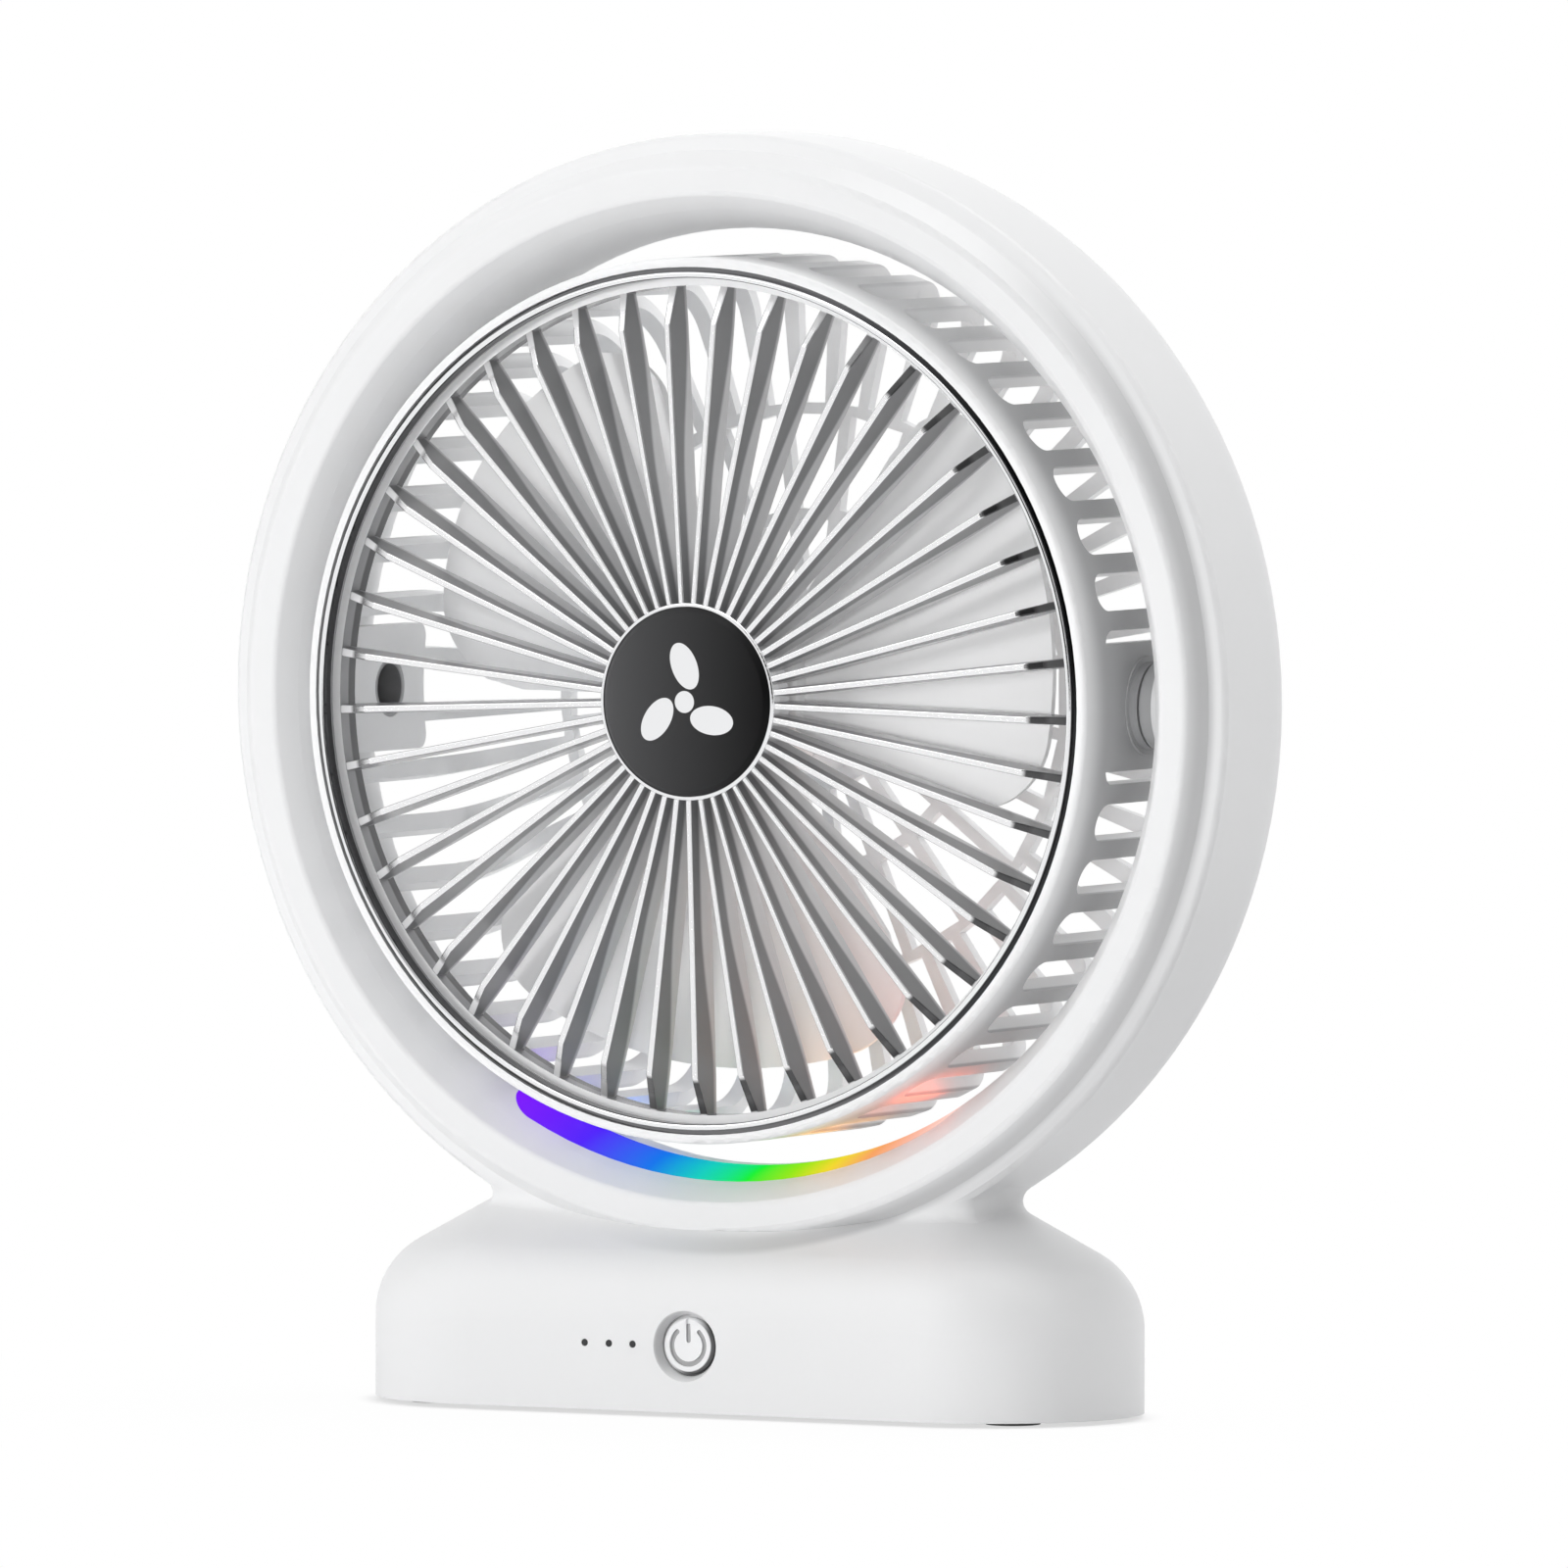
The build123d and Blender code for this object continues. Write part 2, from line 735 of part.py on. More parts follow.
def drum_slots():
    cuts = []
    rim_pitch_width = drum_radius * radians(slot_pitch)
    outer_slot = guard_cut(
        guard_ring_radius + guard_rib / 2,
        drum_radius + over,
        slot_pitch,
        (guard_rib, rim_pitch_width - slot_width),
        slot_back_y,
    )
    middle_slot = guard_cut(
        guard_inner_ring_radius + guard_rib / 2,
        guard_ring_radius - guard_rib / 2,
        2 * slot_pitch,
        (guard_rib, guard_rib),
        drum_back_y - 2 * guard_thickness,
    )
    inner_slot = guard_cut(
        motor_mount_radius,
        guard_inner_ring_radius - guard_rib / 2,
        2 * slot_pitch,
        (guard_rib, guard_rib),
        drum_back_y - 2 * guard_thickness,
    )
    side = side_slot()
    panels = pivot_panels()
    slot_total = round(360 / slot_pitch)
    for i in range(slot_total):
        angle = i * slot_pitch
        slot = turned(outer_slot, angle) + turned(side, angle)
        if abs(sin(radians(angle))) < 0.2:
            slot -= panels
        cuts.append(slot)
        if i % 2 == 0:
            cuts.append(turned(middle_slot, angle))
            cuts.append(turned(inner_slot, angle))
    return cuts


def drum_shell():
    drum = drum_wall() - drum_slots()
    cup = annulus(can_radius, cup_radius, cup_front_y, drum_back_y)
    cup += annulus(bearing_radius + 4 * sink, can_radius + sink, cup_front_y, can_front_y)
    pad = rod_x(pin_inner_x, pin_flange_x[0], 0, ring_centre_z, pin_flange_radius + over)
    drum += [cup, pad, mirrored(pad)]
    drum -= annulus(shaft_radius, cover_radius + sink, cover_seat_y, drum_back_y + over)
    bore = rod_x(*pivot_cut_x, 0, ring_centre_z, pin_radius)
    drum -= [bore, mirrored(bore)]
    for x in (-motor_screw_x, motor_screw_x):
        drum -= rod_y(x, ring_centre_z, cup_front_y, can_front_y, motor_screw_radius)
    return drum


def grille_blade():
    """Straight blade along X, slightly wedge-shaped, with rounded front edges and a sloping outer end."""
    root = hub_disc_radius - blade_sink
    tip = drum_inner - blade_sink
    back_y = blade_knee_y + blade_depth
    side_view = ring_face(
        (root, blade_hub_y),
        (blade_knee_radius, blade_knee_y),
        (tip, blade_end_y),
        (tip, rebate_y + rim_depth - 2 * sink),
        (blade_knee_radius, back_y),
        (root, blade_hub_y + blade_depth - blade_sink),
    )
    front = blade_front_width / 2
    back = blade_back_width / 2
    wedge = [(blade_hub_y, -front), (back_y, -back), (back_y, back), (blade_hub_y, front)]
    section = Plane(origin=(root - over, 0, ring_centre_z), x_dir=(0, 1, 0), z_dir=(1, 0, 0))
    blade = extrude(side_view, blade_back_width, both=True)
    blade &= extrude(section * make_face(Polyline(*wedge, close=True)), tip - root + 2 * over)
    edges = [e for e in blade.edges() if is_front_edge(e)]
    return fillet(edges, blade_edge)


def is_front_edge(edge):
    """True for the two long front edges of a blade, up to where it meets the rim."""
    start, end = edge @ 0, edge @ 1
    along = abs(end.X - start.X) > blade_edge
    return along and max(start.Y, end.Y) < blade_end_y + sink


def front_grille():
    blade = grille_blade()
    blades = [turned(blade, blade_phase + i * 360 / blade_count) for i in range(blade_count)]
    hub = disc(hub_disc_radius, hub_face_y, hub_back_y)
    hub -= disc(hub_disc_radius - hub_wall, hub_face_y + hub_wall, hub_back_y)
    rim = annulus(grille_ring_inner, drum_inner, rebate_y, rebate_y + rim_depth)
    rim += annulus(drum_inner - 2 * sink, bezel_outer - sink / 2, bezel_back_y, rebate_y)
    grille = hub + blades + rim
    return grille - disc(badge_ring_outer, blade_hub_y - over, hub_face_y)


def bezel_ring():
    """Bright bead inside a narrow sunk groove."""
    face = ring_face(
        (bead_inner, bead_front_y),
        (bead_outer, bead_front_y),
        (bead_outer, groove_y),
        (bezel_outer, groove_y),
        (bezel_outer, bezel_back_y),
        (bead_inner, bezel_back_y),
    )
    face = fillet(near_corner(face, bead_inner, bead_front_y), bead_fillet)
    face = fillet(near_corner(face, bead_outer, bead_front_y), bead_fillet)
    return spin(face)


def badge_ring():
    face = ring_face(
        (badge_ring_inner, badge_seat_y),
        (badge_ring_outer, badge_seat_y),
        (badge_ring_outer, hub_face_y),
        (badge_ring_inner, hub_face_y),
    )
    return spin(fillet(near_corner(face, badge_ring_outer, badge_seat_y), 0.4))


def badge_disc():
    badge = disc(badge_radius, badge_front_y, hub_face_y)
    badge = chamfer(badge.edges().group_by(Axis.Y)[0], badge_chamfer)
    return fillet(badge.edges().group_by(Axis.Y)[0], 0.3)


# ---------------------------------------------------------------- motor and impeller

def motor_can():
    can = disc(can_radius, can_front_y, can_back_y)
    can -= disc(can_radius - can_wall, can_front_y + can_wall, can_back_y)
    can -= disc(bearing_radius, can_front_y, can_front_y + can_wall)
    for x in (-motor_screw_x, motor_screw_x):
        can -= rod_y(x, ring_centre_z, can_front_y, can_front_y + can_wall, motor_screw_radius)
    return can


def motor_magnets():
    front = can_front_y + can_wall + 4 * sink
    whole = annulus(magnet_inner, can_radius - can_wall, front, can_back_y - can_wall)
    gap = block(-can_radius, can_radius, front, can_back_y,
                ring_centre_z - magnet_gap, ring_centre_z + magnet_gap)
    return Compound(children=list((whole - gap).solids()))


def motor_end_cap():
    back = can_back_y + end_cap_back
    cap = disc(can_radius - can_wall, can_back_y - can_wall, back)
    thick, long, high = terminal_size
    for x in terminal_x:
        cap += Pos(x, can_back_y + long / 2, ring_centre_z) * Box(thick, long, high)
    return cap - disc(bearing_radius, can_back_y - can_wall, back)


def motor_bearings():
    front = disc(bearing_radius, can_front_y - end_cap_back, can_front_y + end_cap_back)
    back = disc(bearing_radius, can_back_y - can_wall, can_back_y + end_cap_back)
    bore = disc(shaft_bore, cup_front_y, can_back_y + 2 * end_cap_back)
    return Compound(children=[front - bore, back - bore])


def motor_screws():
    head_radius, head_height = motor_screw_head
    screws = []
    for x in (-motor_screw_x, motor_screw_x):
        shank = rod_y(x, ring_centre_z, cup_front_y, can_front_y + motor_screw_radius, motor_screw_radius)
        head = rod_y(x, ring_centre_z, cup_front_y - head_height, cup_front_y, head_radius)
        screws.append(shank + chamfer(head.edges().group_by(Axis.Y)[0], 0.4))
    return Compound(children=screws)


def motor_cover():
    cover = disc(cover_radius, cover_seat_y, cover_back_y)
    return fillet(cover.edges().group_by(Axis.Y)[-1], 0.8)


def motor_shaft():
    shaft = disc(shaft_radius, impeller_front_y + shaft_socket, can_back_y + end_cap_back - 2 * sink)
    return chamfer(shaft.edges().group_by(Axis.Y)[0], 0.2)


def motor_armature():
    front_gap, back_gap = armature_ends
    stack_back = can_back_y - back_gap
    stack = disc(armature_radius, can_front_y + front_gap, stack_back)
    depth, width = armature_slot
    slot = Pos(armature_radius - over, stack_back / 2, ring_centre_z) * Box(depth, stack_back, width)
    for i in range(3):
        stack -= turned(slot, 90 + 120 * i)
    commutator_radius, commutator_length = commutator
    stack += disc(commutator_radius, stack_back, stack_back + commutator_length)
    return stack - disc(shaft_radius, 0, can_back_y)


def vane_section(radius, half_chord, pitch, middle_y, camber):
    """Thin curved strip across one impeller blade, on the plane square to the blade's middle line."""
    plane = Plane(origin=(radius, middle_y, ring_centre_z), x_dir=(0, 1, 0), z_dir=(1, 0, 0))
    along = (sin(radians(pitch)), cos(radians(pitch)))
    across = (cos(radians(pitch)), -sin(radians(pitch)))

    def at(s, rise):
        return (s * along[0] + rise * across[0], s * along[1] + rise * across[1])

    lower = ThreePointArc(at(-half_chord, 0), at(0, camber), at(half_chord, 0))
    top = camber + vane_thickness
    upper = ThreePointArc(at(half_chord, vane_thickness), at(0, top), at(-half_chord, vane_thickness))
    ends = Line(lower @ 1, upper @ 0) + Line(upper @ 1, lower @ 0)
    return plane * make_face(lower + upper + ends)


def vane_outline():
    """One broad blade as seen from the front, with round outer corners."""
    half = blade_span / 2

    def at(radius, angle):
        return (radius * cos(radians(angle)), radius * sin(radians(angle)))

    tip = ThreePointArc(at(tip_radius, -half), at(tip_radius, 0), at(tip_radius, half))
    back = ThreePointArc(at(vane_root, -half), at(0, 0), at(vane_root, half))
    sides = Line(tip @ 1, back @ 1) + Line(back @ 0, tip @ 0)
    plane = Plane(origin=(0, 0, ring_centre_z), x_dir=(1, 0, 0), z_dir=(0, -1, 0))
    face = plane * make_face(tip + sides + back)
    corners = sorted(face.vertices(), key=lambda v: -v.X)[:2]
    return extrude(fillet(corners, vane_corner), ring_half_depth, both=True)


def impeller():
    sheet = loft([vane_section(*values) for values in vane_sections])
    vane = sheet & vane_outline()
    wheel = disc(impeller_hub_radius, impeller_front_y, impeller_hub_back_y)
    wheel = fillet(wheel.edges().group_by(Axis.Y)[0], hub_edge)
    for i in range(impeller_blades):
        wheel += turned(vane, impeller_phase + i * 360 / impeller_blades)
    hollow_radius = impeller_hub_radius - impeller_skin
    wheel -= disc(hollow_radius, impeller_front_y + hub_face_thickness, impeller_hub_back_y)
    wheel += disc(hub_boss_radius, impeller_front_y + hub_boss_front, impeller_hub_back_y)
    return wheel - disc(shaft_radius, impeller_front_y + shaft_socket, impeller_hub_back_y)


def main():
    parts = {
        "stand_shell": stand_shell(),
        "ring_front_cover": ring_front_cover(),
        "light_diffuser": light_diffuser(),
        "led_strip": led_strip(),
        "base_plate": base_plate(),
        "rubber_feet": rubber_feet(),
        "base_screws": base_screws(),
        "battery_cell": battery_cell(),
        "control_board": control_board(),
        "board_screws": board_screws(),
        "tact_switch": tact_switch(),
        "indicator_lights": indicator_lights(),
        "usb_socket": usb_socket(),
        "charging_board": charging_board(),
        "power_button": power_button(),
        "switch_plunger": switch_plunger(),
        "drum_shell": drum_shell(),
        "front_grille": front_grille(),
        "bezel_ring": bezel_ring(),
        "badge_ring": badge_ring(),
        "badge_disc": badge_disc(),
        "motor_can": motor_can(),
        "motor_magnets": motor_magnets(),
        "motor_end_cap": motor_end_cap(),
        "motor_bearings": motor_bearings(),
        "motor_screws": motor_screws(),
        "motor_cover": motor_cover(),
        "motor_shaft": motor_shaft(),
        "motor_armature": motor_armature(),
        "impeller": impeller(),
    }
    right_side = {
        "pivot_bush": pivot_bush(),
        "pivot_pin": pivot_pin(),
        "friction_washer": friction_washer(),
        "pivot_nut": pivot_nut(),
    }
    for name, shape in right_side.items():
        parts[name + "_right"] = shape
        parts[name + "_left"] = mirrored(shape)
    os.makedirs("parts", exist_ok=True)
    for name, shape in parts.items():
        export_step(shape, f"parts/{name}.step")


main()
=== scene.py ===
import bpy, bmesh, math
from mathutils import Matrix, Vector


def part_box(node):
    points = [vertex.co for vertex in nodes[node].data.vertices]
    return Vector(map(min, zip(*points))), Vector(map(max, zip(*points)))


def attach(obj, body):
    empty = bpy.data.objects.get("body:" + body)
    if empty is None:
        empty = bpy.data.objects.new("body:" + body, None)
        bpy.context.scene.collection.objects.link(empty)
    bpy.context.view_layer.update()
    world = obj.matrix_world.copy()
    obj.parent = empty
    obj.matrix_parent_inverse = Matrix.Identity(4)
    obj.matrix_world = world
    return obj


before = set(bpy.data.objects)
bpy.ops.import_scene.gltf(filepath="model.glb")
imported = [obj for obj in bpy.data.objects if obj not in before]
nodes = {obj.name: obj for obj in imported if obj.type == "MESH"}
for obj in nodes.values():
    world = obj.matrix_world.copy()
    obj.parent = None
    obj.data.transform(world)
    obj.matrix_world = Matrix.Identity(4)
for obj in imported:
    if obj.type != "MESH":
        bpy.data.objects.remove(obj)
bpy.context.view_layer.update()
scene = bpy.context.scene
print("frame loaded,", len(nodes), "CAD pieces")


# middle of a CAD piece's box, in metres as all lengths here
def middleOf(node):
    low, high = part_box(node)
    return (Vector(low) + Vector(high)) / 2


ringCentre = Vector((0, 0, middleOf("drum_shell").z))    # middle of the ring and of the fan head
buttonHeight = middleOf("power_button").z


# unit vector toward an azimuth and an elevation in degrees; azimuth 0 lies straight in front
def directionTo(azimuth, elevation):
    turn, rise = math.radians(azimuth), math.radians(elevation)
    return Vector((math.sin(turn) * math.cos(rise), -math.cos(turn) * math.cos(rise), math.sin(rise)))


# turns a camera or a lamp so that it looks along a direction
def aimAlong(thing, direction):
    thing.rotation_mode = "QUATERNION"
    thing.rotation_quaternion = direction.to_track_quat("-Z", "Y")


def newObject(name, shape):
    mesh = bpy.data.meshes.new(name)
    shape.to_mesh(mesh)
    shape.free()
    made = bpy.data.objects.new(name, mesh)
    scene.collection.objects.link(made)
    return made


# camera

cameraView = {
    "azimuth": 28.69,
    "elevation": 2.73,
    "distance": 4.2,
    "lens": 554.7,
    "sideways": 0.0045,    # its aim: to the right of the origin
    "height": 0.1087,      # and above the floor
}


def makeCamera(values):
    back = directionTo(values["azimuth"], values["elevation"])
    right = directionTo(values["azimuth"] + 90, 0)
    target = right * values["sideways"] + Vector((0, 0, values["height"]))
    camera = bpy.data.objects.new("camera", bpy.data.cameras.new("camera"))
    scene.collection.objects.link(camera)
    camera.data.lens = values["lens"]
    camera.location = target + back * values["distance"]
    aimAlong(camera, -back)
    scene.camera = camera


makeCamera(cameraView)
print("camera placed")


# shader helpers: a value is a number, a colour, a vector or the socket that it comes from

def addNode(tree, kind, **settings):
    made = tree.nodes.new(kind)
    for name, value in settings.items():
        setattr(made, name, value)
    return made


def wire(tree, source, target):
    tree.links.new(source, target)


def feed(tree, value, socket):
    if isinstance(value, (int, float, tuple, Vector)):
        socket.default_value = value
    else:
        wire(tree, value, socket)


def setSockets(node, values):
    for label, value in values.items():
        node.inputs[label].default_value = value


def newGroup(name, inputs, outputs):
    group = bpy.data.node_groups.new(name, "ShaderNodeTree")
    for label, (kind, value) in inputs.items():
        socket = group.interface.new_socket(name=label, in_out="INPUT", socket_type=kind)
        socket.default_value = value
    for label, kind in outputs.items():
        group.interface.new_socket(name=label, in_out="OUTPUT", socket_type=kind)
    given, result = group.nodes.new("NodeGroupInput"), group.nodes.new("NodeGroupOutput")
    return group, given.outputs, result.inputs


def objectPoint(tree):
    return addNode(tree, "ShaderNodeTexCoord").outputs["Object"]


def splitVector(tree, vector):
    parts = addNode(tree, "ShaderNodeSeparateXYZ")
    wire(tree, vector, parts.inputs[0])
    return parts.outputs


def mathNode(tree, operation, *values, clamp=False):
    made = addNode(tree, "ShaderNodeMath", operation=operation, use_clamp=clamp)
    for value, socket in zip(values, made.inputs):
        feed(tree, value, socket)
    return made.outputs[0]


def add(tree, first, second, clamp=False):
    return mathNode(tree, "ADD", first, second, clamp=clamp)


def subtract(tree, first, second):
    return mathNode(tree, "SUBTRACT", first, second)


def multiply(tree, first, second, clamp=False):
    return mathNode(tree, "MULTIPLY", first, second, clamp=clamp)


def larger(tree, first, second):
    return mathNode(tree, "MAXIMUM", first, second)


def absolute(tree, value):
    return mathNode(tree, "ABSOLUTE", value)


# distance that two offsets at right angles make
def distance(tree, first, second):
    squares = add(tree, multiply(tree, first, first), multiply(tree, second, second))
    return mathNode(tree, "SQRT", squares)


# first less a share of second, which grows along a slanting line
def leanTo(tree, first, second, share):
    return subtract(tree, first, multiply(tree, second, share))


def noiseNode(tree, vector, scale, detail, roughness=0.55):
    made = addNode(tree, "ShaderNodeTexNoise")
    wire(tree, vector, made.inputs["Vector"])
    for label, value in (("Scale", scale), ("Detail", detail), ("Roughness", roughness)):
        feed(tree, value, made.inputs[label])
    return made.outputs["Fac"]


def mixColour(tree, factor, first, second, blend="MIX"):
    made = addNode(tree, "ShaderNodeMix", data_type="RGBA", blend_type=blend)
    for label, value in (("Factor", factor), ("A", first), ("B", second)):
        feed(tree, value, made.inputs[label])
    return made.outputs["Result"]


def rangeNode(tree, value, fromLow, fromHigh, toLow=0.0, toHigh=1.0, kind="LINEAR"):
    made = addNode(tree, "ShaderNodeMapRange", interpolation_type=kind)
    wire(tree, value, made.inputs["Value"])
    setSockets(made, {"From Min": fromLow, "From Max": fromHigh, "To Min": toLow, "To Max": toHigh})
    return made.outputs["Result"]


def softRange(tree, value, fromLow, fromHigh, toLow=0.0, toHigh=1.0):
    return rangeNode(tree, value, fromLow, fromHigh, toLow, toHigh, "SMOOTHSTEP")


def dotNode(tree, first, second):
    made = addNode(tree, "ShaderNodeVectorMath", operation="DOT_PRODUCT")
    feed(tree, first, made.inputs[0])
    feed(tree, second, made.inputs[1])
    return made.outputs["Value"]


# moulded surface: slow drift of tone, small specks, uneven polish and a very fine grain
skinPattern = {
    "driftScale": 22.0,
    "driftDetail": 4.0,
    "speckScale": 900.0,
    "speckShare": 0.35,
    "smearScale": 95.0,
    "smearDetail": 5.0,
    "smearRoughness": 0.65,
    "fineDetail": 2.0,    # of the specks and the grain
}


def makeMouldedSkin(values):
    group, given, result = newGroup(
        "mouldedSkin",
        {
            "Tint": ("NodeSocketColor", (0.8, 0.8, 0.8, 1)),
            "Tone drift": ("NodeSocketFloat", 0.03),
            "Polish": ("NodeSocketFloat", 0.3),
            "Polish drift": ("NodeSocketFloat", 0.06),
            "Grain scale": ("NodeSocketFloat", 2600.0),
        },
        {"Color": "NodeSocketColor", "Roughness": "NodeSocketFloat", "Height": "NodeSocketFloat"},
    )
    point = objectPoint(group)
    slow = noiseNode(group, point, values["driftScale"], values["driftDetail"])
    specks = noiseNode(group, point, values["speckScale"], values["fineDetail"])
    smear = noiseNode(group, point, values["smearScale"], values["smearDetail"], values["smearRoughness"])
    drift = subtract(group, slow, 0.5)
    fleck = multiply(group, subtract(group, specks, 0.5), values["speckShare"])
    level = add(group, multiply(group, add(group, drift, fleck), given["Tone drift"]), 1.0)
    tone = addNode(group, "ShaderNodeCombineColor")
    for socket in tone.inputs:
        wire(group, level, socket)
    wire(group, mixColour(group, 1.0, given["Tint"], tone.outputs[0], "MULTIPLY"), result["Color"])
    uneven = multiply(group, subtract(group, smear, 0.5), given["Polish drift"])
    wire(group, add(group, given["Polish"], uneven, clamp=True), result["Roughness"])
    wire(group, noiseNode(group, point, given["Grain scale"], values["fineDetail"]), result["Height"])
    return group


# rubbed edges: how far a rounded normal leaves the true one, in patches
rubPattern = {
    "samples": 4,
    "bend": (0.99, 0.8),    # cosine of the angle between the two normals
    "patchScale": 260.0,
    "patchDetail": 3.0,
    "patchRange": (0.35, 0.65),
}


def makeEdgeRub(values):
    group, given, result = newGroup(
        "edgeRub",
        {"Width": ("NodeSocketFloat", 0.0004), "Patchiness": ("NodeSocketFloat", 0.5)},
        {"Mask": "NodeSocketFloat"},
    )
    rounded = addNode(group, "ShaderNodeBevel", samples=values["samples"])
    wire(group, given["Width"], rounded.inputs["Radius"])
    geometry = addNode(group, "ShaderNodeNewGeometry")
    cosine = dotNode(group, rounded.outputs["Normal"], geometry.outputs["Normal"])
    bend = rangeNode(group, cosine, *values["bend"])
    noise = noiseNode(group, objectPoint(group), values["patchScale"], values["patchDetail"])
    patches = multiply(group, rangeNode(group, noise, *values["patchRange"]), given["Patchiness"])
    kept = add(group, patches, subtract(group, 1.0, given["Patchiness"]))
    wire(group, multiply(group, bend, kept, clamp=True), result["Mask"])
    return group


# height over the button's axis, from the height over the ring's middle
def overButton(tree, rise):
    return add(tree, rise, ringCentre.z - buttonHeight)


# where a point of the fan lies: its distance from the fan's axis, the pivot axis and the button's axis,
# and its X, Y and Z from the ring's middle
def makeFanPlace():
    labels = ("Radius", "Pivot radius", "Button radius", "Side", "Depth", "Rise")
    group, given, result = newGroup(
        "fanPlace",
        {"Centre": ("NodeSocketVector", tuple(ringCentre))},
        {label: "NodeSocketFloat" for label in labels},
    )
    offset = addNode(group, "ShaderNodeVectorMath", operation="SUBTRACT")
    wire(group, objectPoint(group), offset.inputs[0])
    wire(group, given["Centre"], offset.inputs[1])
    side, depth, rise = splitVector(group, offset.outputs[0])
    radius = distance(group, side, rise)
    pivotRadius = distance(group, depth, rise)
    buttonRadius = distance(group, side, overButton(group, rise))
    for label, value in zip(labels, (radius, pivotRadius, buttonRadius, side, depth, rise)):
        wire(group, value, result[label])
    return group


mouldedSkin = makeMouldedSkin(skinPattern)
edgeRub = makeEdgeRub(rubPattern)
fanPlace = makeFanPlace()
print("shader groups built")


# finishes
# each has a skin: its tint and how far that drifts, its polish (roughness) and how far that drifts,
# how fine its grain is and how strong its bump; "sockets" are the shader's own, the same all over

grainHeight = 0.0001


def newFinish(name, values):
    finish = bpy.data.materials.new(name)
    finish.use_nodes = True
    shader = finish.node_tree.nodes["Principled BSDF"]
    setSockets(shader, values.get("sockets", {}))
    return finish, finish.node_tree, shader


def skinOn(tree, shader, values):
    skin = addNode(tree, "ShaderNodeGroup", node_tree=mouldedSkin)
    setSockets(skin, {
        "Tint": values["tint"],
        "Tone drift": values["drift"],
        "Polish": values["polish"],
        "Polish drift": values["polishDrift"],
        "Grain scale": values["grain"],
    })
    relief = addNode(tree, "ShaderNodeBump")
    setSockets(relief, {"Strength": values["bump"], "Distance": grainHeight})
    wire(tree, skin.outputs["Color"], shader.inputs["Base Color"])
    wire(tree, skin.outputs["Roughness"], shader.inputs["Roughness"])
    wire(tree, skin.outputs["Height"], relief.inputs["Height"])
    wire(tree, relief.outputs["Normal"], shader.inputs["Normal"])
    return skin.outputs["Color"]


def placeOn(tree):
    return addNode(tree, "ShaderNodeGroup", node_tree=fanPlace).outputs


def plainFinish(values):
    finish, tree, shader = newFinish(values["name"], values)
    skinOn(tree, shader, values)
    return finish


# finishes that are the same all over, by material slot
plainFinishes = {
    "blade_grey": {"name": "bladeGrey", "tint": (0.90, 0.90, 0.902, 1), "drift": 0.02,
                   "polish": 0.4, "polishDrift": 0.05, "grain": 2400.0, "bump": 0.05},
    "plate_white": {"name": "plateWhite", "tint": (0.74, 0.74, 0.745, 1), "drift": 0.04,
                    "polish": 0.55, "polishDrift": 0.08, "grain": 1400.0, "bump": 0.35},
    "rubber": {"name": "footRubber", "tint": (0.20, 0.20, 0.202, 1), "drift": 0.18,
               "polish": 0.82, "polishDrift": 0.10, "grain": 1500.0, "bump": 0.5},
    "steel": {"name": "zincSteel", "tint": (0.58, 0.585, 0.6, 1), "drift": 0.10,
              "polish": 0.34, "polishDrift": 0.14, "grain": 1800.0, "bump": 0.2,
              "sockets": {"Metallic": 1.0}},
    "pin_plastic": {"name": "pinPlastic", "tint": (0.11, 0.11, 0.115, 1), "drift": 0.10,
                    "polish": 0.42, "polishDrift": 0.10, "grain": 2200.0, "bump": 0.2},
    "cell_wrap": {"name": "cellWrap", "tint": (0.03, 0.16, 0.42, 1), "drift": 0.06,
                  "polish": 0.28, "polishDrift": 0.10, "grain": 1200.0, "bump": 0.15},
    "switch_black": {"name": "switchBlack", "tint": (0.03, 0.03, 0.03, 1), "drift": 0.15,
                     "polish": 0.5, "polishDrift": 0.1, "grain": 2000.0, "bump": 0.2},
    "light_pipe": {"name": "lightPipe", "tint": (0.02, 0.02, 0.022, 1), "drift": 0.1,
                   "polish": 0.18, "polishDrift": 0.05, "grain": 1500.0, "bump": 0.05},
    "ferrite": {"name": "ferrite", "tint": (0.08, 0.078, 0.075, 1), "drift": 0.25,
                "polish": 0.7, "polishDrift": 0.1, "grain": 1700.0, "bump": 0.6},
    "bearing_bronze": {"name": "sinteredBronze", "tint": (0.5, 0.34, 0.16, 1), "drift": 0.2,
                       "polish": 0.45, "polishDrift": 0.12, "grain": 1900.0, "bump": 0.5,
                       "sockets": {"Metallic": 1.0}},
    "armature": {"name": "woundCopper", "tint": (0.5, 0.22, 0.1, 1), "drift": 0.3,
                 "polish": 0.4, "polishDrift": 0.15, "grain": 900.0, "bump": 0.8,
                 "sockets": {"Metallic": 0.8}},
    "led_tape": {"name": "ledTape", "tint": (0.8, 0.79, 0.74, 1), "drift": 0.06,
                 "polish": 0.5, "polishDrift": 0.1, "grain": 1500.0, "bump": 0.2},
}

finishes = {slot: plainFinish(values) for slot, values in plainFinishes.items()}


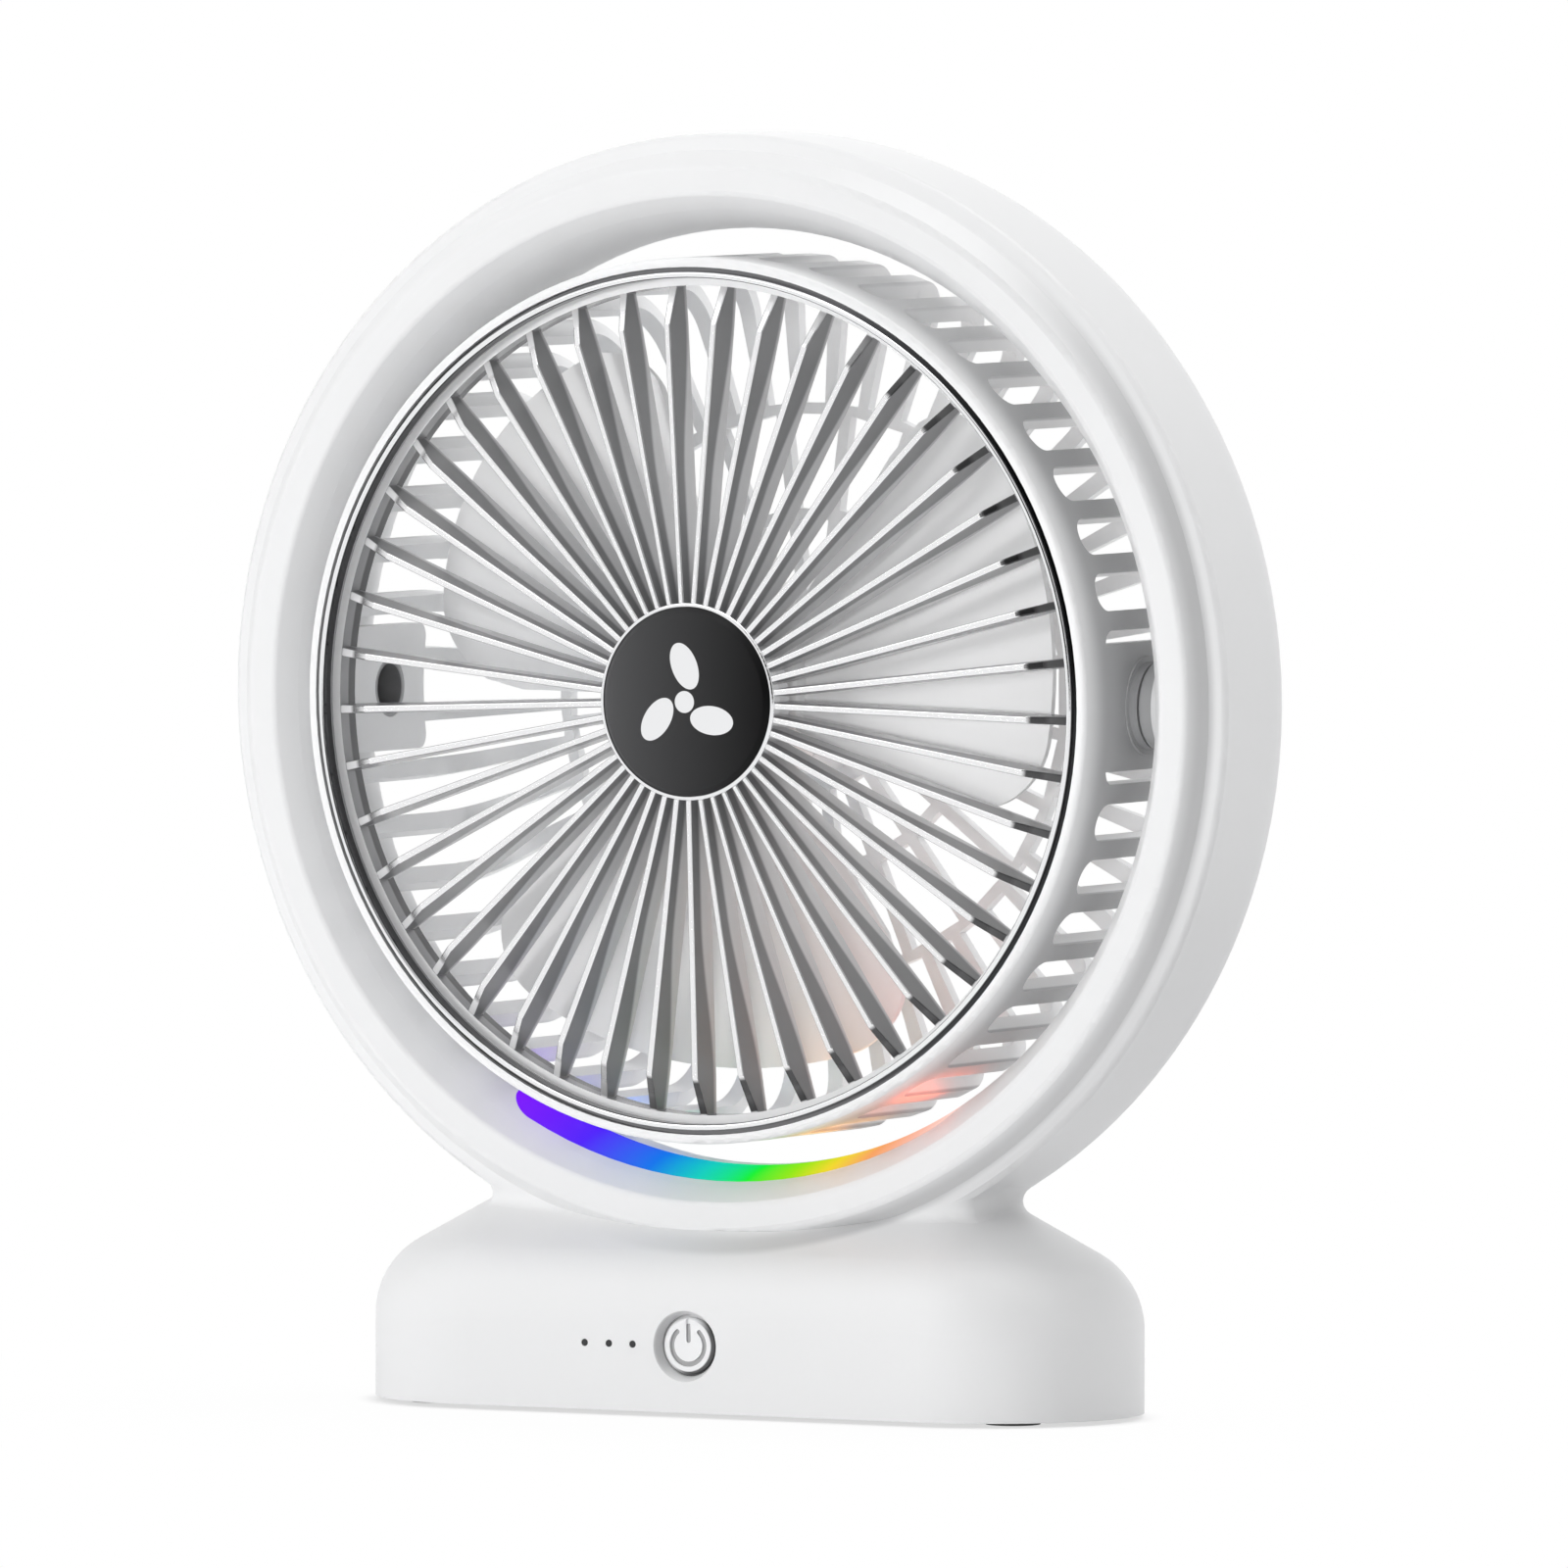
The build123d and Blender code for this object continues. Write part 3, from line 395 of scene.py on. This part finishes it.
# stand: white, with painted shade in three places
ringWhite = {
    "tint": (0.80, 0.803, 0.808, 1),
    "drift": 0.012,
    "polish": 0.42,
    "polishDrift": 0.03,
    "grain": 2200.0,
    "bump": 0.03,
    "hollow": (0.56, 0.562, 0.568, 1),    # painted shade between the ring's front face and its step, on the lower right
    "hollowRadius": (0.0920, 0.0943, 0.0951, 0.0966),    # comes in over the first two, goes over the last
    "step": -0.0112,    # depth of the step, which stays white itself
    "leanShare": 0.45,
    "lean": (0.012, 0.075),
    "under": (0.66, 0.662, 0.668, 1),    # painted shade on the lower right of the ring's outer side
    "underShare": 0.6,
    "underLean": (0.07, 0.11),
    "underSide": (0.035, 0.055),
    "underRise": (-0.092, -0.084),
    "dish": (0.56, 0.562, 0.568, 1),    # painted shade on the upper left of the dish round the button
    "dishRadius": (0.0059, 0.00625),
    "dishShare": 0.5,
    "dishLean": (-0.001, 0.0055),
}


def makeRingWhite(values):
    finish, tree, shader = newFinish("ringWhite", values)
    white = skinOn(tree, shader, values)
    place = placeOn(tree)
    side, rise = place["Side"], place["Rise"]

    # painted shade in the hollow before the step, darkest on the lower right
    riseFrom, riseTo, fallFrom, fallTo = values["hollowRadius"]
    inner = softRange(tree, place["Radius"], riseFrom, riseTo)
    outer = softRange(tree, place["Radius"], fallFrom, fallTo, 1.0, 0.0)
    near = mathNode(tree, "LESS_THAN", place["Depth"], values["step"])
    lean = softRange(tree, leanTo(tree, side, rise, values["leanShare"]), *values["lean"])
    hollow = multiply(tree, multiply(tree, inner, outer), multiply(tree, near, lean))
    ring = mixColour(tree, hollow, white, values["hollow"])

    # painted shade on the lower right of the ring's outer side, above the base
    low = subtract(tree, multiply(tree, side, values["underShare"]), rise)
    right = softRange(tree, side, *values["underSide"])
    aboveBase = softRange(tree, rise, *values["underRise"])
    outside = softRange(tree, place["Radius"], fallFrom, fallTo)
    lowRight = multiply(tree, softRange(tree, low, *values["underLean"]), right)
    under = multiply(tree, lowRight, multiply(tree, aboveBase, outside))
    ring = mixColour(tree, under, ring, values["under"])

    # painted shade on the upper left of the dish round the button
    inDish = softRange(tree, place["Button radius"], *values["dishRadius"], 1.0, 0.0)
    upLeft = subtract(tree, multiply(tree, overButton(tree, rise), values["dishShare"]), side)
    dish = multiply(tree, inDish, softRange(tree, upLeft, *values["dishLean"]))
    wire(tree, mixColour(tree, dish, ring, values["dish"]), shader.inputs["Base Color"])
    return finish


finishes["white_gloss"] = makeRingWhite(ringWhite)


# fan head: pale inside and lip; the drum's outer side is a greyer lacquer with painted shade, deepening
# behind the lip and toward the lower right
drumPaint = {
    "tint": (0.86, 0.863, 0.868, 1),
    "drift": 0.02,
    "polish": 0.4,
    "polishDrift": 0.05,
    "grain": 2600.0,
    "bump": 0.06,
    # grey of the drum's outer side: a greyer lacquer with painted shade
    "side": (0.47, 0.473, 0.48, 1),
    "sideRadius": (0.0759, 0.0765),
    "lip": (-0.0233, -0.0148),    # depths over which the grey and its painted shade come in behind the lip
    "leanShare": 0.5,
    "lean": (0.0, 0.045),
    "leastGrey": 0.25,    # share of the grey and painted shade that the upper left still has
}


def makeDrumPaint(values):
    finish, tree, shader = newFinish("drumPaint", values)
    pale = skinOn(tree, shader, values)
    place = placeOn(tree)
    outer = softRange(tree, place["Radius"], *values["sideRadius"])
    deep = softRange(tree, place["Depth"], *values["lip"])
    lean = leanTo(tree, place["Side"], place["Rise"], values["leanShare"])
    grey = softRange(tree, lean, *values["lean"], values["leastGrey"], 1.0)
    # painted shade: the grey deepens behind the lip and toward the lower right
    mask = multiply(tree, multiply(tree, outer, grey), deep)
    wire(tree, mixColour(tree, mask, pale, values["side"]), shader.inputs["Base Color"])
    return finish


finishes["white_satin"] = makeDrumPaint(drumPaint)


# silver lacquer on the grille: bright front edges, with painted shade on the cheeks, the rim's inner wall
# and the blade ends on the right
silver = {
    "tint": (0.86, 0.86, 0.87, 1),
    "drift": 0.03,
    "polish": 0.24,
    "polishDrift": 0.04,
    "grain": 2400.0,
    "bump": 0.02,
    # painted shade on the blades' cheeks
    "cheek": (0.26, 0.262, 0.267, 1),
    "cheekFacing": (0.66, 0.92),    # how squarely a face looks round the fan's axis
    "cheekRear": (0.70, 0.702, 0.708, 1),    # rear part of the cheeks, where the painted shade stays paler, widest at the hub
    "frontLine": (0.0169, 0.0654, -0.0254, -0.0237),    # radii, and depths of the blades' front edge there
    "darkWidth": (0.038, 0.066, 0.0025, 0.0056),    # radii, and widths of the part of the cheeks with dark painted shade there
    "rearFade": 0.0004,
    "smoke": (0.085, 0.085, 0.087, 1),    # painted shade on the blade ends on the right
    "endRadius": (0.0655, 0.0662),
    "smokeShare": 0.35,
    "smokeLean": (-0.012, 0.02),
    # painted shade on the rim's inner wall; its front face stays pale
    "rim": (0.36, 0.362, 0.37, 1),
    "rimRadius": (0.0716, 0.0718),
    "rimFront": (0.80, 0.802, 0.81, 1),
    "frontFacing": (0.6, 0.9),
    "rimEdge": (0.11, 0.11, 0.113, 1),    # deeper painted shade on the rear part of the rim's inner wall
    "rimEdgeDepth": (-0.0180, -0.0174),
    "metal": 0.9,
    "dullMetal": 0.15,    # on cheeks, blade tips and rim
    "tipRadius": (0.0682, 0.0692),
}


def makeSilverGrille(values):
    finish, tree, shader = newFinish("silverGrille", values)
    bright = skinOn(tree, shader, values)
    facing = splitVector(tree, addNode(tree, "ShaderNodeTexCoord").outputs["Normal"])
    place = placeOn(tree)
    side, rise, radius = place["Side"], place["Rise"], place["Radius"]

    # painted shade on the cheeks, paler on their rear part
    turning = subtract(tree, multiply(tree, facing["Z"], side), multiply(tree, facing["X"], rise))
    around = mathNode(tree, "DIVIDE", turning, radius)
    cheek = softRange(tree, absolute(tree, around), *values["cheekFacing"])
    frontEdge = rangeNode(tree, radius, *values["frontLine"])
    darkWidth = softRange(tree, radius, *values["darkWidth"])
    behind = subtract(tree, subtract(tree, place["Depth"], frontEdge), darkWidth)
    rearPart = rangeNode(tree, behind, -values["rearFade"], values["rearFade"])
    cheekTone = mixColour(tree, rearPart, values["cheek"], values["cheekRear"])

    # painted shade on the blade ends, toward the right
    end = rangeNode(tree, radius, *values["endRadius"])
    lean = leanTo(tree, side, rise, values["smokeShare"])
    smoke = multiply(tree, end, softRange(tree, lean, *values["smokeLean"]))
    blades = mixColour(tree, cheek, mixColour(tree, smoke, bright, values["smoke"]), cheekTone)

    # painted shade on the rim's inner wall, deepest at its rear; front-facing faces stay pale
    rearWall = softRange(tree, place["Depth"], *values["rimEdgeDepth"])
    wall = mixColour(tree, rearWall, values["rim"], values["rimEdge"])
    front = softRange(tree, absolute(tree, facing["Y"]), *values["frontFacing"])
    rimTone = mixColour(tree, front, wall, values["rimFront"])
    rim = rangeNode(tree, radius, *values["rimRadius"])
    wire(tree, mixColour(tree, rim, blades, rimTone), shader.inputs["Base Color"])

    dull = larger(tree, rangeNode(tree, radius, *values["tipRadius"]), cheek)
    metal = rangeNode(tree, dull, 0.0, 1.0, values["metal"], values["dullMetal"])
    wire(tree, metal, shader.inputs["Metallic"])
    return finish


finishes["silver_grille"] = makeSilverGrille(silver)


# plated trim: bright beads, painted shade in the sunk groove outside the big one and darker painted shade
# on the flank inside it
trim = {
    "sockets": {"Metallic": 1.0},
    "tint": (0.86, 0.865, 0.875, 1),
    "drift": 0.02,
    "polish": 0.16,
    "polishDrift": 0.03,
    "grain": 1800.0,
    "bump": 0.02,
    "groove": (0.17, 0.17, 0.176, 1),
    "grooveRadius": (0.07422, 0.0743),
    "flank": (0.05, 0.05, 0.053, 1),
    "flankRadius": (0.07337, 0.07345),
    "badgeReach": 0.0700,    # the badge's ring and sign lie inside this radius and stay bright
}


def makeChromeTrim(values):
    finish, tree, shader = newFinish("chromeTrim", values)
    bright = skinOn(tree, shader, values)
    radius = placeOn(tree)["Radius"]
    # painted shade in the sunk groove and on the flank inside the big bead
    groove = rangeNode(tree, radius, *values["grooveRadius"])
    grooved = mixColour(tree, groove, bright, values["groove"])
    outside = mathNode(tree, "GREATER_THAN", radius, values["badgeReach"])
    flank = multiply(tree, outside, rangeNode(tree, radius, *values["flankRadius"], 1.0, 0.0))
    wire(tree, mixColour(tree, flank, grooved, values["flank"]), shader.inputs["Base Color"])
    return finish


finishes["chrome_trim"] = makeChromeTrim(trim)


# black lacquered badge: a painted sheen lightens it toward its left side, edges rubbed
badge = {
    "sockets": {"Specular IOR Level": 0.1},
    "tint": (0.095, 0.095, 0.098, 1),    # at the left edge, lightened by the painted sheen
    "drift": 0.04,
    "polish": 0.34,
    "polishDrift": 0.04,
    "grain": 2300.0,
    "bump": 0.04,
    "right": (0.002, 0.002, 0.0023, 1),
    "halfWidth": 0.0165,
    "fadePower": 0.55,    # under 1, so most of the fade lies near the left edge
    "rubbed": (0.16, 0.16, 0.165, 1),
    "rub": {"Width": 0.0003, "Patchiness": 0.4},
    "rubShare": 0.2,
}


def makeBadgeBlack(values):
    finish, tree, shader = newFinish("badgeBlack", values)
    left = skinOn(tree, shader, values)
    # painted sheen: lighter at the left edge, fading to black at the right
    across = rangeNode(tree, placeOn(tree)["Side"], -values["halfWidth"], values["halfWidth"])
    lacquer = mixColour(tree, mathNode(tree, "POWER", across, values["fadePower"]), left, values["right"])
    rub = addNode(tree, "ShaderNodeGroup", node_tree=edgeRub)
    setSockets(rub, values["rub"])
    worn = multiply(tree, rub.outputs["Mask"], values["rubShare"])
    wire(tree, mixColour(tree, worn, lacquer, values["rubbed"]), shader.inputs["Base Color"])
    return finish


finishes["badge_black"] = makeBadgeBlack(badge)


# pivot pins and nuts: pale flange, painted shade in the bore
pin = {
    "tint": (0.40, 0.402, 0.41, 1),
    "drift": 0.04,
    "polish": 0.4,
    "polishDrift": 0.05,
    "grain": 2200.0,
    "bump": 0.08,
    "bore": (0.22, 0.22, 0.225, 1),
    "boreRadius": (0.0044, 0.0048),
}


def makePinFinish(values):
    finish, tree, shader = newFinish("pivotPin", values)
    flange = skinOn(tree, shader, values)
    # painted shade in the bore
    bore = softRange(tree, placeOn(tree)["Pivot radius"], *values["boreRadius"], 1.0, 0.0)
    wire(tree, mixColour(tree, bore, flange, values["bore"]), shader.inputs["Base Color"])
    return finish


# button: white cap, grey paint on the floor of the pressed-in sign, painted shade in the gap round its
# lower right
button = {
    "tint": (0.85, 0.853, 0.86, 1),
    "drift": 0.012,
    "polish": 0.4,
    "polishDrift": 0.03,
    "grain": 2200.0,
    "bump": 0.03,
    "paint": (0.40, 0.40, 0.405, 1),
    "signFloor": (-0.02494, -0.02486),
    "signReach": 0.0038,    # radius that the sign stays within
    "gap": (0.12, 0.12, 0.122, 1),
    "gapRadius": (0.00438, 0.0046),
    "gapShare": 0.6,
    "gapLean": (-0.0018, 0.003),
    "leastGap": 0.1,    # share of the painted shade that the upper left still has
}


def makeButtonFinish(values):
    finish, tree, shader = newFinish("buttonCap", values)
    white = skinOn(tree, shader, values)
    place = placeOn(tree)
    deep = rangeNode(tree, place["Depth"], *values["signFloor"])
    inSign = mathNode(tree, "LESS_THAN", place["Button radius"], values["signReach"])
    cap = mixColour(tree, multiply(tree, deep, inSign), white, values["paint"])
    # painted shade in the gap round the cap, mostly on the lower right
    edge = softRange(tree, place["Button radius"], *values["gapRadius"])
    downRight = leanTo(tree, place["Side"], overButton(tree, place["Rise"]), values["gapShare"])
    gap = multiply(tree, edge, softRange(tree, downRight, *values["gapLean"], values["leastGap"], 1.0))
    wire(tree, mixColour(tree, gap, cap, values["gap"]), shader.inputs["Base Color"])
    return finish


# milky light window: hue runs from violet at the left end to coral at the right
lightBand = {
    "sockets": {"Emission Strength": 1.9, "Specular IOR Level": 0.0},
    "tint": (0.02, 0.02, 0.022, 1),
    "drift": 0.02,
    "polish": 0.35,
    "polishDrift": 0.04,
    "grain": 2000.0,
    "bump": 0.03,
    "halfWidth": 0.0445,
    "stops": [
        (0.0, (0.11, 0.0, 0.50)),
        (0.17, (0.04, 0.006, 0.50)),
        (0.32, (0.0, 0.09, 0.43)),
        (0.43, (0.0, 0.32, 0.27)),
        (0.54, (0.0, 0.45, 0.012)),
        (0.63, (0.15, 0.42, 0.0)),
        (0.72, (0.46, 0.36, 0.01)),
        (0.81, (0.49, 0.19, 0.06)),
        (0.91, (0.50, 0.26, 0.20)),
        (1.0, (0.50, 0.37, 0.34)),
    ],
}


def makeDiffuser(values):
    finish, tree, shader = newFinish("milkyDiffuser", values)
    skinOn(tree, shader, values)
    along = rangeNode(tree, placeOn(tree)["Side"], -values["halfWidth"], values["halfWidth"])
    ramp = addNode(tree, "ShaderNodeValToRGB")
    stops = ramp.color_ramp.elements
    while len(stops) < len(values["stops"]):
        stops.new(0.5)
    for stop, (position, colour) in zip(stops, values["stops"]):
        stop.position = position
        stop.color = (*colour, 1)
    wire(tree, along, ramp.inputs["Fac"])
    wire(tree, ramp.outputs["Color"], shader.inputs["Emission Color"])
    return finish


finishes["diffuser"] = makeDiffuser(lightBand)


# green boards: solder mask over a grid of tracks
board = {
    "tint": (0.02, 0.13, 0.06, 1),
    "drift": 0.1,
    "polish": 0.32,
    "polishDrift": 0.06,
    "grain": 2000.0,
    "bump": 0.1,
    "track": (0.05, 0.3, 0.12, 1),
    "grid": {
        "Scale": 260.0,
        "Mortar Size": 0.04,
        "Color1": (0, 0, 0, 1),
        "Color2": (0, 0, 0, 1),
        "Mortar": (1, 1, 1, 1),
    },
}


def makeBoard(values):
    finish, tree, shader = newFinish("circuitBoard", values)
    mask = skinOn(tree, shader, values)
    tracks = addNode(tree, "ShaderNodeTexBrick")
    wire(tree, objectPoint(tree), tracks.inputs["Vector"])
    setSockets(tracks, values["grid"])
    wire(tree, mixColour(tree, tracks.outputs["Color"], mask, values["track"]), shader.inputs["Base Color"])
    return finish


finishes["circuit_board"] = makeBoard(board)

ownFinish = {"power_button": makeButtonFinish(button)}
for side in ("left", "right"):
    ownFinish["pivot_pin_" + side] = ownFinish["pivot_nut_" + side] = makePinFinish(pin)

for name, piece in nodes.items():
    for slot in piece.material_slots:
        slot.material = ownFinish.get(name) or finishes[slot.material.name]
print("finishes on", len(nodes), "CAD pieces")


# badge sign: three plain vanes round a small disc

motif = {
    "lift": 0.00001,    # from the badge's front to the sign's back
    "thickness": 0.00004,
    "vaneLength": 0.0085,
    "vaneWidth": 0.0050,
    "vaneSides": 48,
    "offset": 0.0062,
    "lean": 24.0,
    "hub": 0.0019,
    "hubSides": 40,
}


def turnVerts(shape, verts, degrees, axis):
    turn = Matrix.Rotation(math.radians(degrees), 3, axis)
    bmesh.ops.rotate(shape, cent=(0, 0, 0), matrix=turn, verts=verts)


def vertsOf(geometry):
    return [item for item in geometry if isinstance(item, bmesh.types.BMVert)]


def makeMotif(values):
    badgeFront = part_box("badge_disc")[0][1]
    shape = bmesh.new()
    vane = bmesh.ops.create_circle(shape, cap_ends=True, segments=values["vaneSides"], radius=1.0)["verts"]
    bmesh.ops.scale(shape, vec=(values["vaneLength"] / 2, values["vaneWidth"] / 2, 1), verts=vane)
    turnVerts(shape, vane, values["lean"], "Z")
    bmesh.ops.translate(shape, vec=(values["offset"], 0, 0), verts=vane)
    turnVerts(shape, vane, 90, "Z")
    for degrees in (120, 240):
        copy = bmesh.ops.duplicate(shape, geom=list(vane) + [f for f in shape.faces if f.verts[0] in vane])
        turnVerts(shape, vertsOf(copy["geom"]), degrees, "Z")
    bmesh.ops.create_circle(shape, cap_ends=True, segments=values["hubSides"], radius=values["hub"])
    raised = bmesh.ops.extrude_face_region(shape, geom=shape.faces[:])
    bmesh.ops.translate(shape, vec=(0, 0, values["thickness"]), verts=vertsOf(raised["geom"]))
    turnVerts(shape, shape.verts, 90, "X")
    bmesh.ops.translate(shape, vec=(0, badgeFront - values["lift"], ringCentre.z), verts=shape.verts)
    bmesh.ops.recalc_face_normals(shape, faces=shape.faces)
    piece = newObject("badge_motif", shape)
    piece.data.materials.append(finishes["chrome_trim"])
    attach(piece, "head")


makeMotif(motif)
print("badge motif made")


# studio: pale floor, white backdrop, soft lamps

studio = {
    "floorSize": 12.0,
    "sockets": {    # of the floor's shader
        "Base Color": (0.90, 0.90, 0.905, 1),
        "Roughness": 0.8,
        "Specular IOR Level": 0.1,
    },
    "whiteUnder": 0.64,    # share of plain white in the floor under the base, beside it and far away
    "whiteNear": 0.97,
    "whiteFar": 1.0,
    "nearEdge": 0.004,
    "farEdge": 0.14,
    "basePlan": (0.0461, 0.0265),    # half the base's straight side, and the radius of its ends
    "ambient": 0.46,
    "darkDirection": (28.69, 2.73),    # azimuth and elevation of the dark end, which only reflections show
    "darkCone": (48.0, 24.0),
    "darkLevel": 0.04,
    "shadeDirection": (68.0, 0.0),    # dim side of the room, for soft light only
    "shadeCone": (65.0, 25.0),
    "shadeLevel": 0.15,
}


def rayPath(tree):
    return addNode(tree, "ShaderNodeLightPath").outputs


# 1 for rays from the camera and for mirrored or transmitted ones
def seenRays(tree, path):
    mirrored = larger(tree, path["Is Glossy Ray"], path["Is Transmission Ray"])
    return larger(tree, path["Is Camera Ray"], mirrored)


def makeFloor(values):
    shape = bmesh.new()
    bmesh.ops.create_grid(shape, x_segments=1, y_segments=1, size=values["floorSize"])
    floor = newObject("floor", shape)
    finish, tree, shader = newFinish("paleFloor", values)
    x, y = splitVector(tree, objectPoint(tree))[:2]
    halfStraight, endRadius = values["basePlan"]
    nearEdge = endRadius + values["nearEdge"]
    beyond = larger(tree, subtract(tree, absolute(tree, x), halfStraight), 0.0)
    away = distance(tree, beyond, y)
    near = softRange(tree, away, endRadius, nearEdge, values["whiteUnder"], values["whiteNear"])
    far = softRange(tree, away, nearEdge, values["farEdge"], 0.0, values["whiteFar"] - values["whiteNear"])
    white = addNode(tree, "ShaderNodeEmission")
    blend = addNode(tree, "ShaderNodeMixShader")
    wire(tree, multiply(tree, seenRays(tree, rayPath(tree)), add(tree, near, far)), blend.inputs[0])
    wire(tree, shader.outputs[0], blend.inputs[1])
    wire(tree, white.outputs[0], blend.inputs[2])
    wire(tree, blend.outputs[0], tree.nodes["Material Output"].inputs["Surface"])
    floor.data.materials.append(finish)


# soft-edged cone of the sky; direction is azimuth and elevation, cone its outer and inner half angle
def coneNode(tree, around, direction, cone):
    outer, inner = (math.cos(math.radians(angle)) for angle in cone)
    return softRange(tree, dotNode(tree, around, directionTo(*direction)), outer, inner)


def makeWorld(values):
    world = bpy.data.worlds.new("studio")
    scene.world = world
    world.use_nodes = True
    tree = world.node_tree
    path = rayPath(tree)
    seen = seenRays(tree, path)
    around = addNode(tree, "ShaderNodeTexCoord").outputs["Generated"]
    inDark = coneNode(tree, around, values["darkDirection"], values["darkCone"])
    inShade = coneNode(tree, around, values["shadeDirection"], values["shadeCone"])
    dark = multiply(tree, inDark, path["Is Glossy Ray"])
    shown = rangeNode(tree, dark, 0.0, 1.0, 1.0, values["darkLevel"])
    soft = rangeNode(tree, inShade, 0.0, 1.0, values["ambient"], values["ambient"] * values["shadeLevel"])
    lit = multiply(tree, seen, shown)
    room = multiply(tree, subtract(tree, 1.0, seen), soft)
    backdrop = tree.nodes["Background"]
    setSockets(backdrop, {"Color": (1, 1, 1, 1)})
    wire(tree, add(tree, lit, room), backdrop.inputs["Strength"])


# soft lamps aimed at the ring's middle; reflections show only the mirrored ones
lamps = {
    "key": {"place": (-0.9, -1.5, 1.3), "size": 0.9, "power": 4.6, "mirrored": True},
    "front": {"place": (-1.1, -2.0, 0.15), "size": 0.45, "power": 12.4, "mirrored": False},
    "viewer": {"place": (1.0, -2.05, 0.2), "size": 0.3, "power": 6.5, "mirrored": False},
    "top": {"place": (0.25, 0.1, 1.8), "size": 0.9, "power": 12.0, "mirrored": True},
    "right": {"place": (1.0, 1.2, 1.4), "size": 0.6, "power": 9.5, "mirrored": False},
    "back": {"place": (-1.0, 1.5, 1.0), "size": 0.8, "power": 8.0, "mirrored": False},
    "bounce": {"place": (-0.25, -0.9, 0.015), "size": 0.8, "power": 2.2, "mirrored": False},
}

# narrow beam through the grille onto the right part of the impeller
beam = {
    "place": (0.75, -2.15, 0.15),
    "aim": (0.032, 0.0, 0.128),
    "width": 2.5,    # degrees
    "blend": 0.9,
    "power": 36.0,
    "softness": 0.03,
}

# light that the band throws back into the gap, one soft strip for each part of its hue
glow = {
    "radius": 0.0810,
    "size": (0.017, 0.007),
    "power": 0.0012,
    "spread": 150.0,
    "strips": [    # degrees from straight down toward the right, colour, share of the power
        (-27, (0.30, 0.05, 1.0), 0.35),
        (-14, (0.03, 0.25, 1.0), 0.7),
        (0, (0.05, 0.8, 0.4), 1.0),
        (14, (1.0, 0.38, 0.05), 1.4),
        (29, (1.0, 0.13, 0.05), 1.6),
    ],
}


def placeLamp(name, lamp, place, aim, mirrored):
    holder = bpy.data.objects.new(name, lamp)
    holder.location = place
    aimAlong(holder, aim - Vector(place))
    scene.collection.objects.link(holder)
    holder.visible_camera = False
    holder.visible_glossy = mirrored


def makeLamp(name, values):
    lamp = bpy.data.lights.new(name, "AREA")
    lamp.energy, lamp.size = values["power"], values["size"]
    placeLamp(name, lamp, values["place"], ringCentre, values["mirrored"])


def makeBeam(values):
    lamp = bpy.data.lights.new("beam", "SPOT")
    lamp.energy, lamp.shadow_soft_size = values["power"], values["softness"]
    lamp.spot_size, lamp.spot_blend = math.radians(values["width"]), values["blend"]
    placeLamp("beam", lamp, values["place"], Vector(values["aim"]), False)


def makeGlow(values):
    middle = Vector((0, middleOf("light_diffuser").y, ringCentre.z))
    for number, (degrees, colour, share) in enumerate(values["strips"], 1):
        angle = math.radians(degrees)
        lamp = bpy.data.lights.new(f"glow_{number}", "AREA")
        lamp.shape, lamp.energy, lamp.color = "RECTANGLE", values["power"] * share, colour
        lamp.size, lamp.size_y = values["size"]
        lamp.spread = math.radians(values["spread"])
        outward = Vector((math.sin(angle), 0, -math.cos(angle)))
        placeLamp(lamp.name, lamp, middle + outward * values["radius"], middle, False)


makeFloor(studio)
makeWorld(studio)
for name, values in lamps.items():
    makeLamp(name, values)
makeBeam(beam)
makeGlow(glow)
scene.view_settings.view_transform = "Standard"
print("studio set")
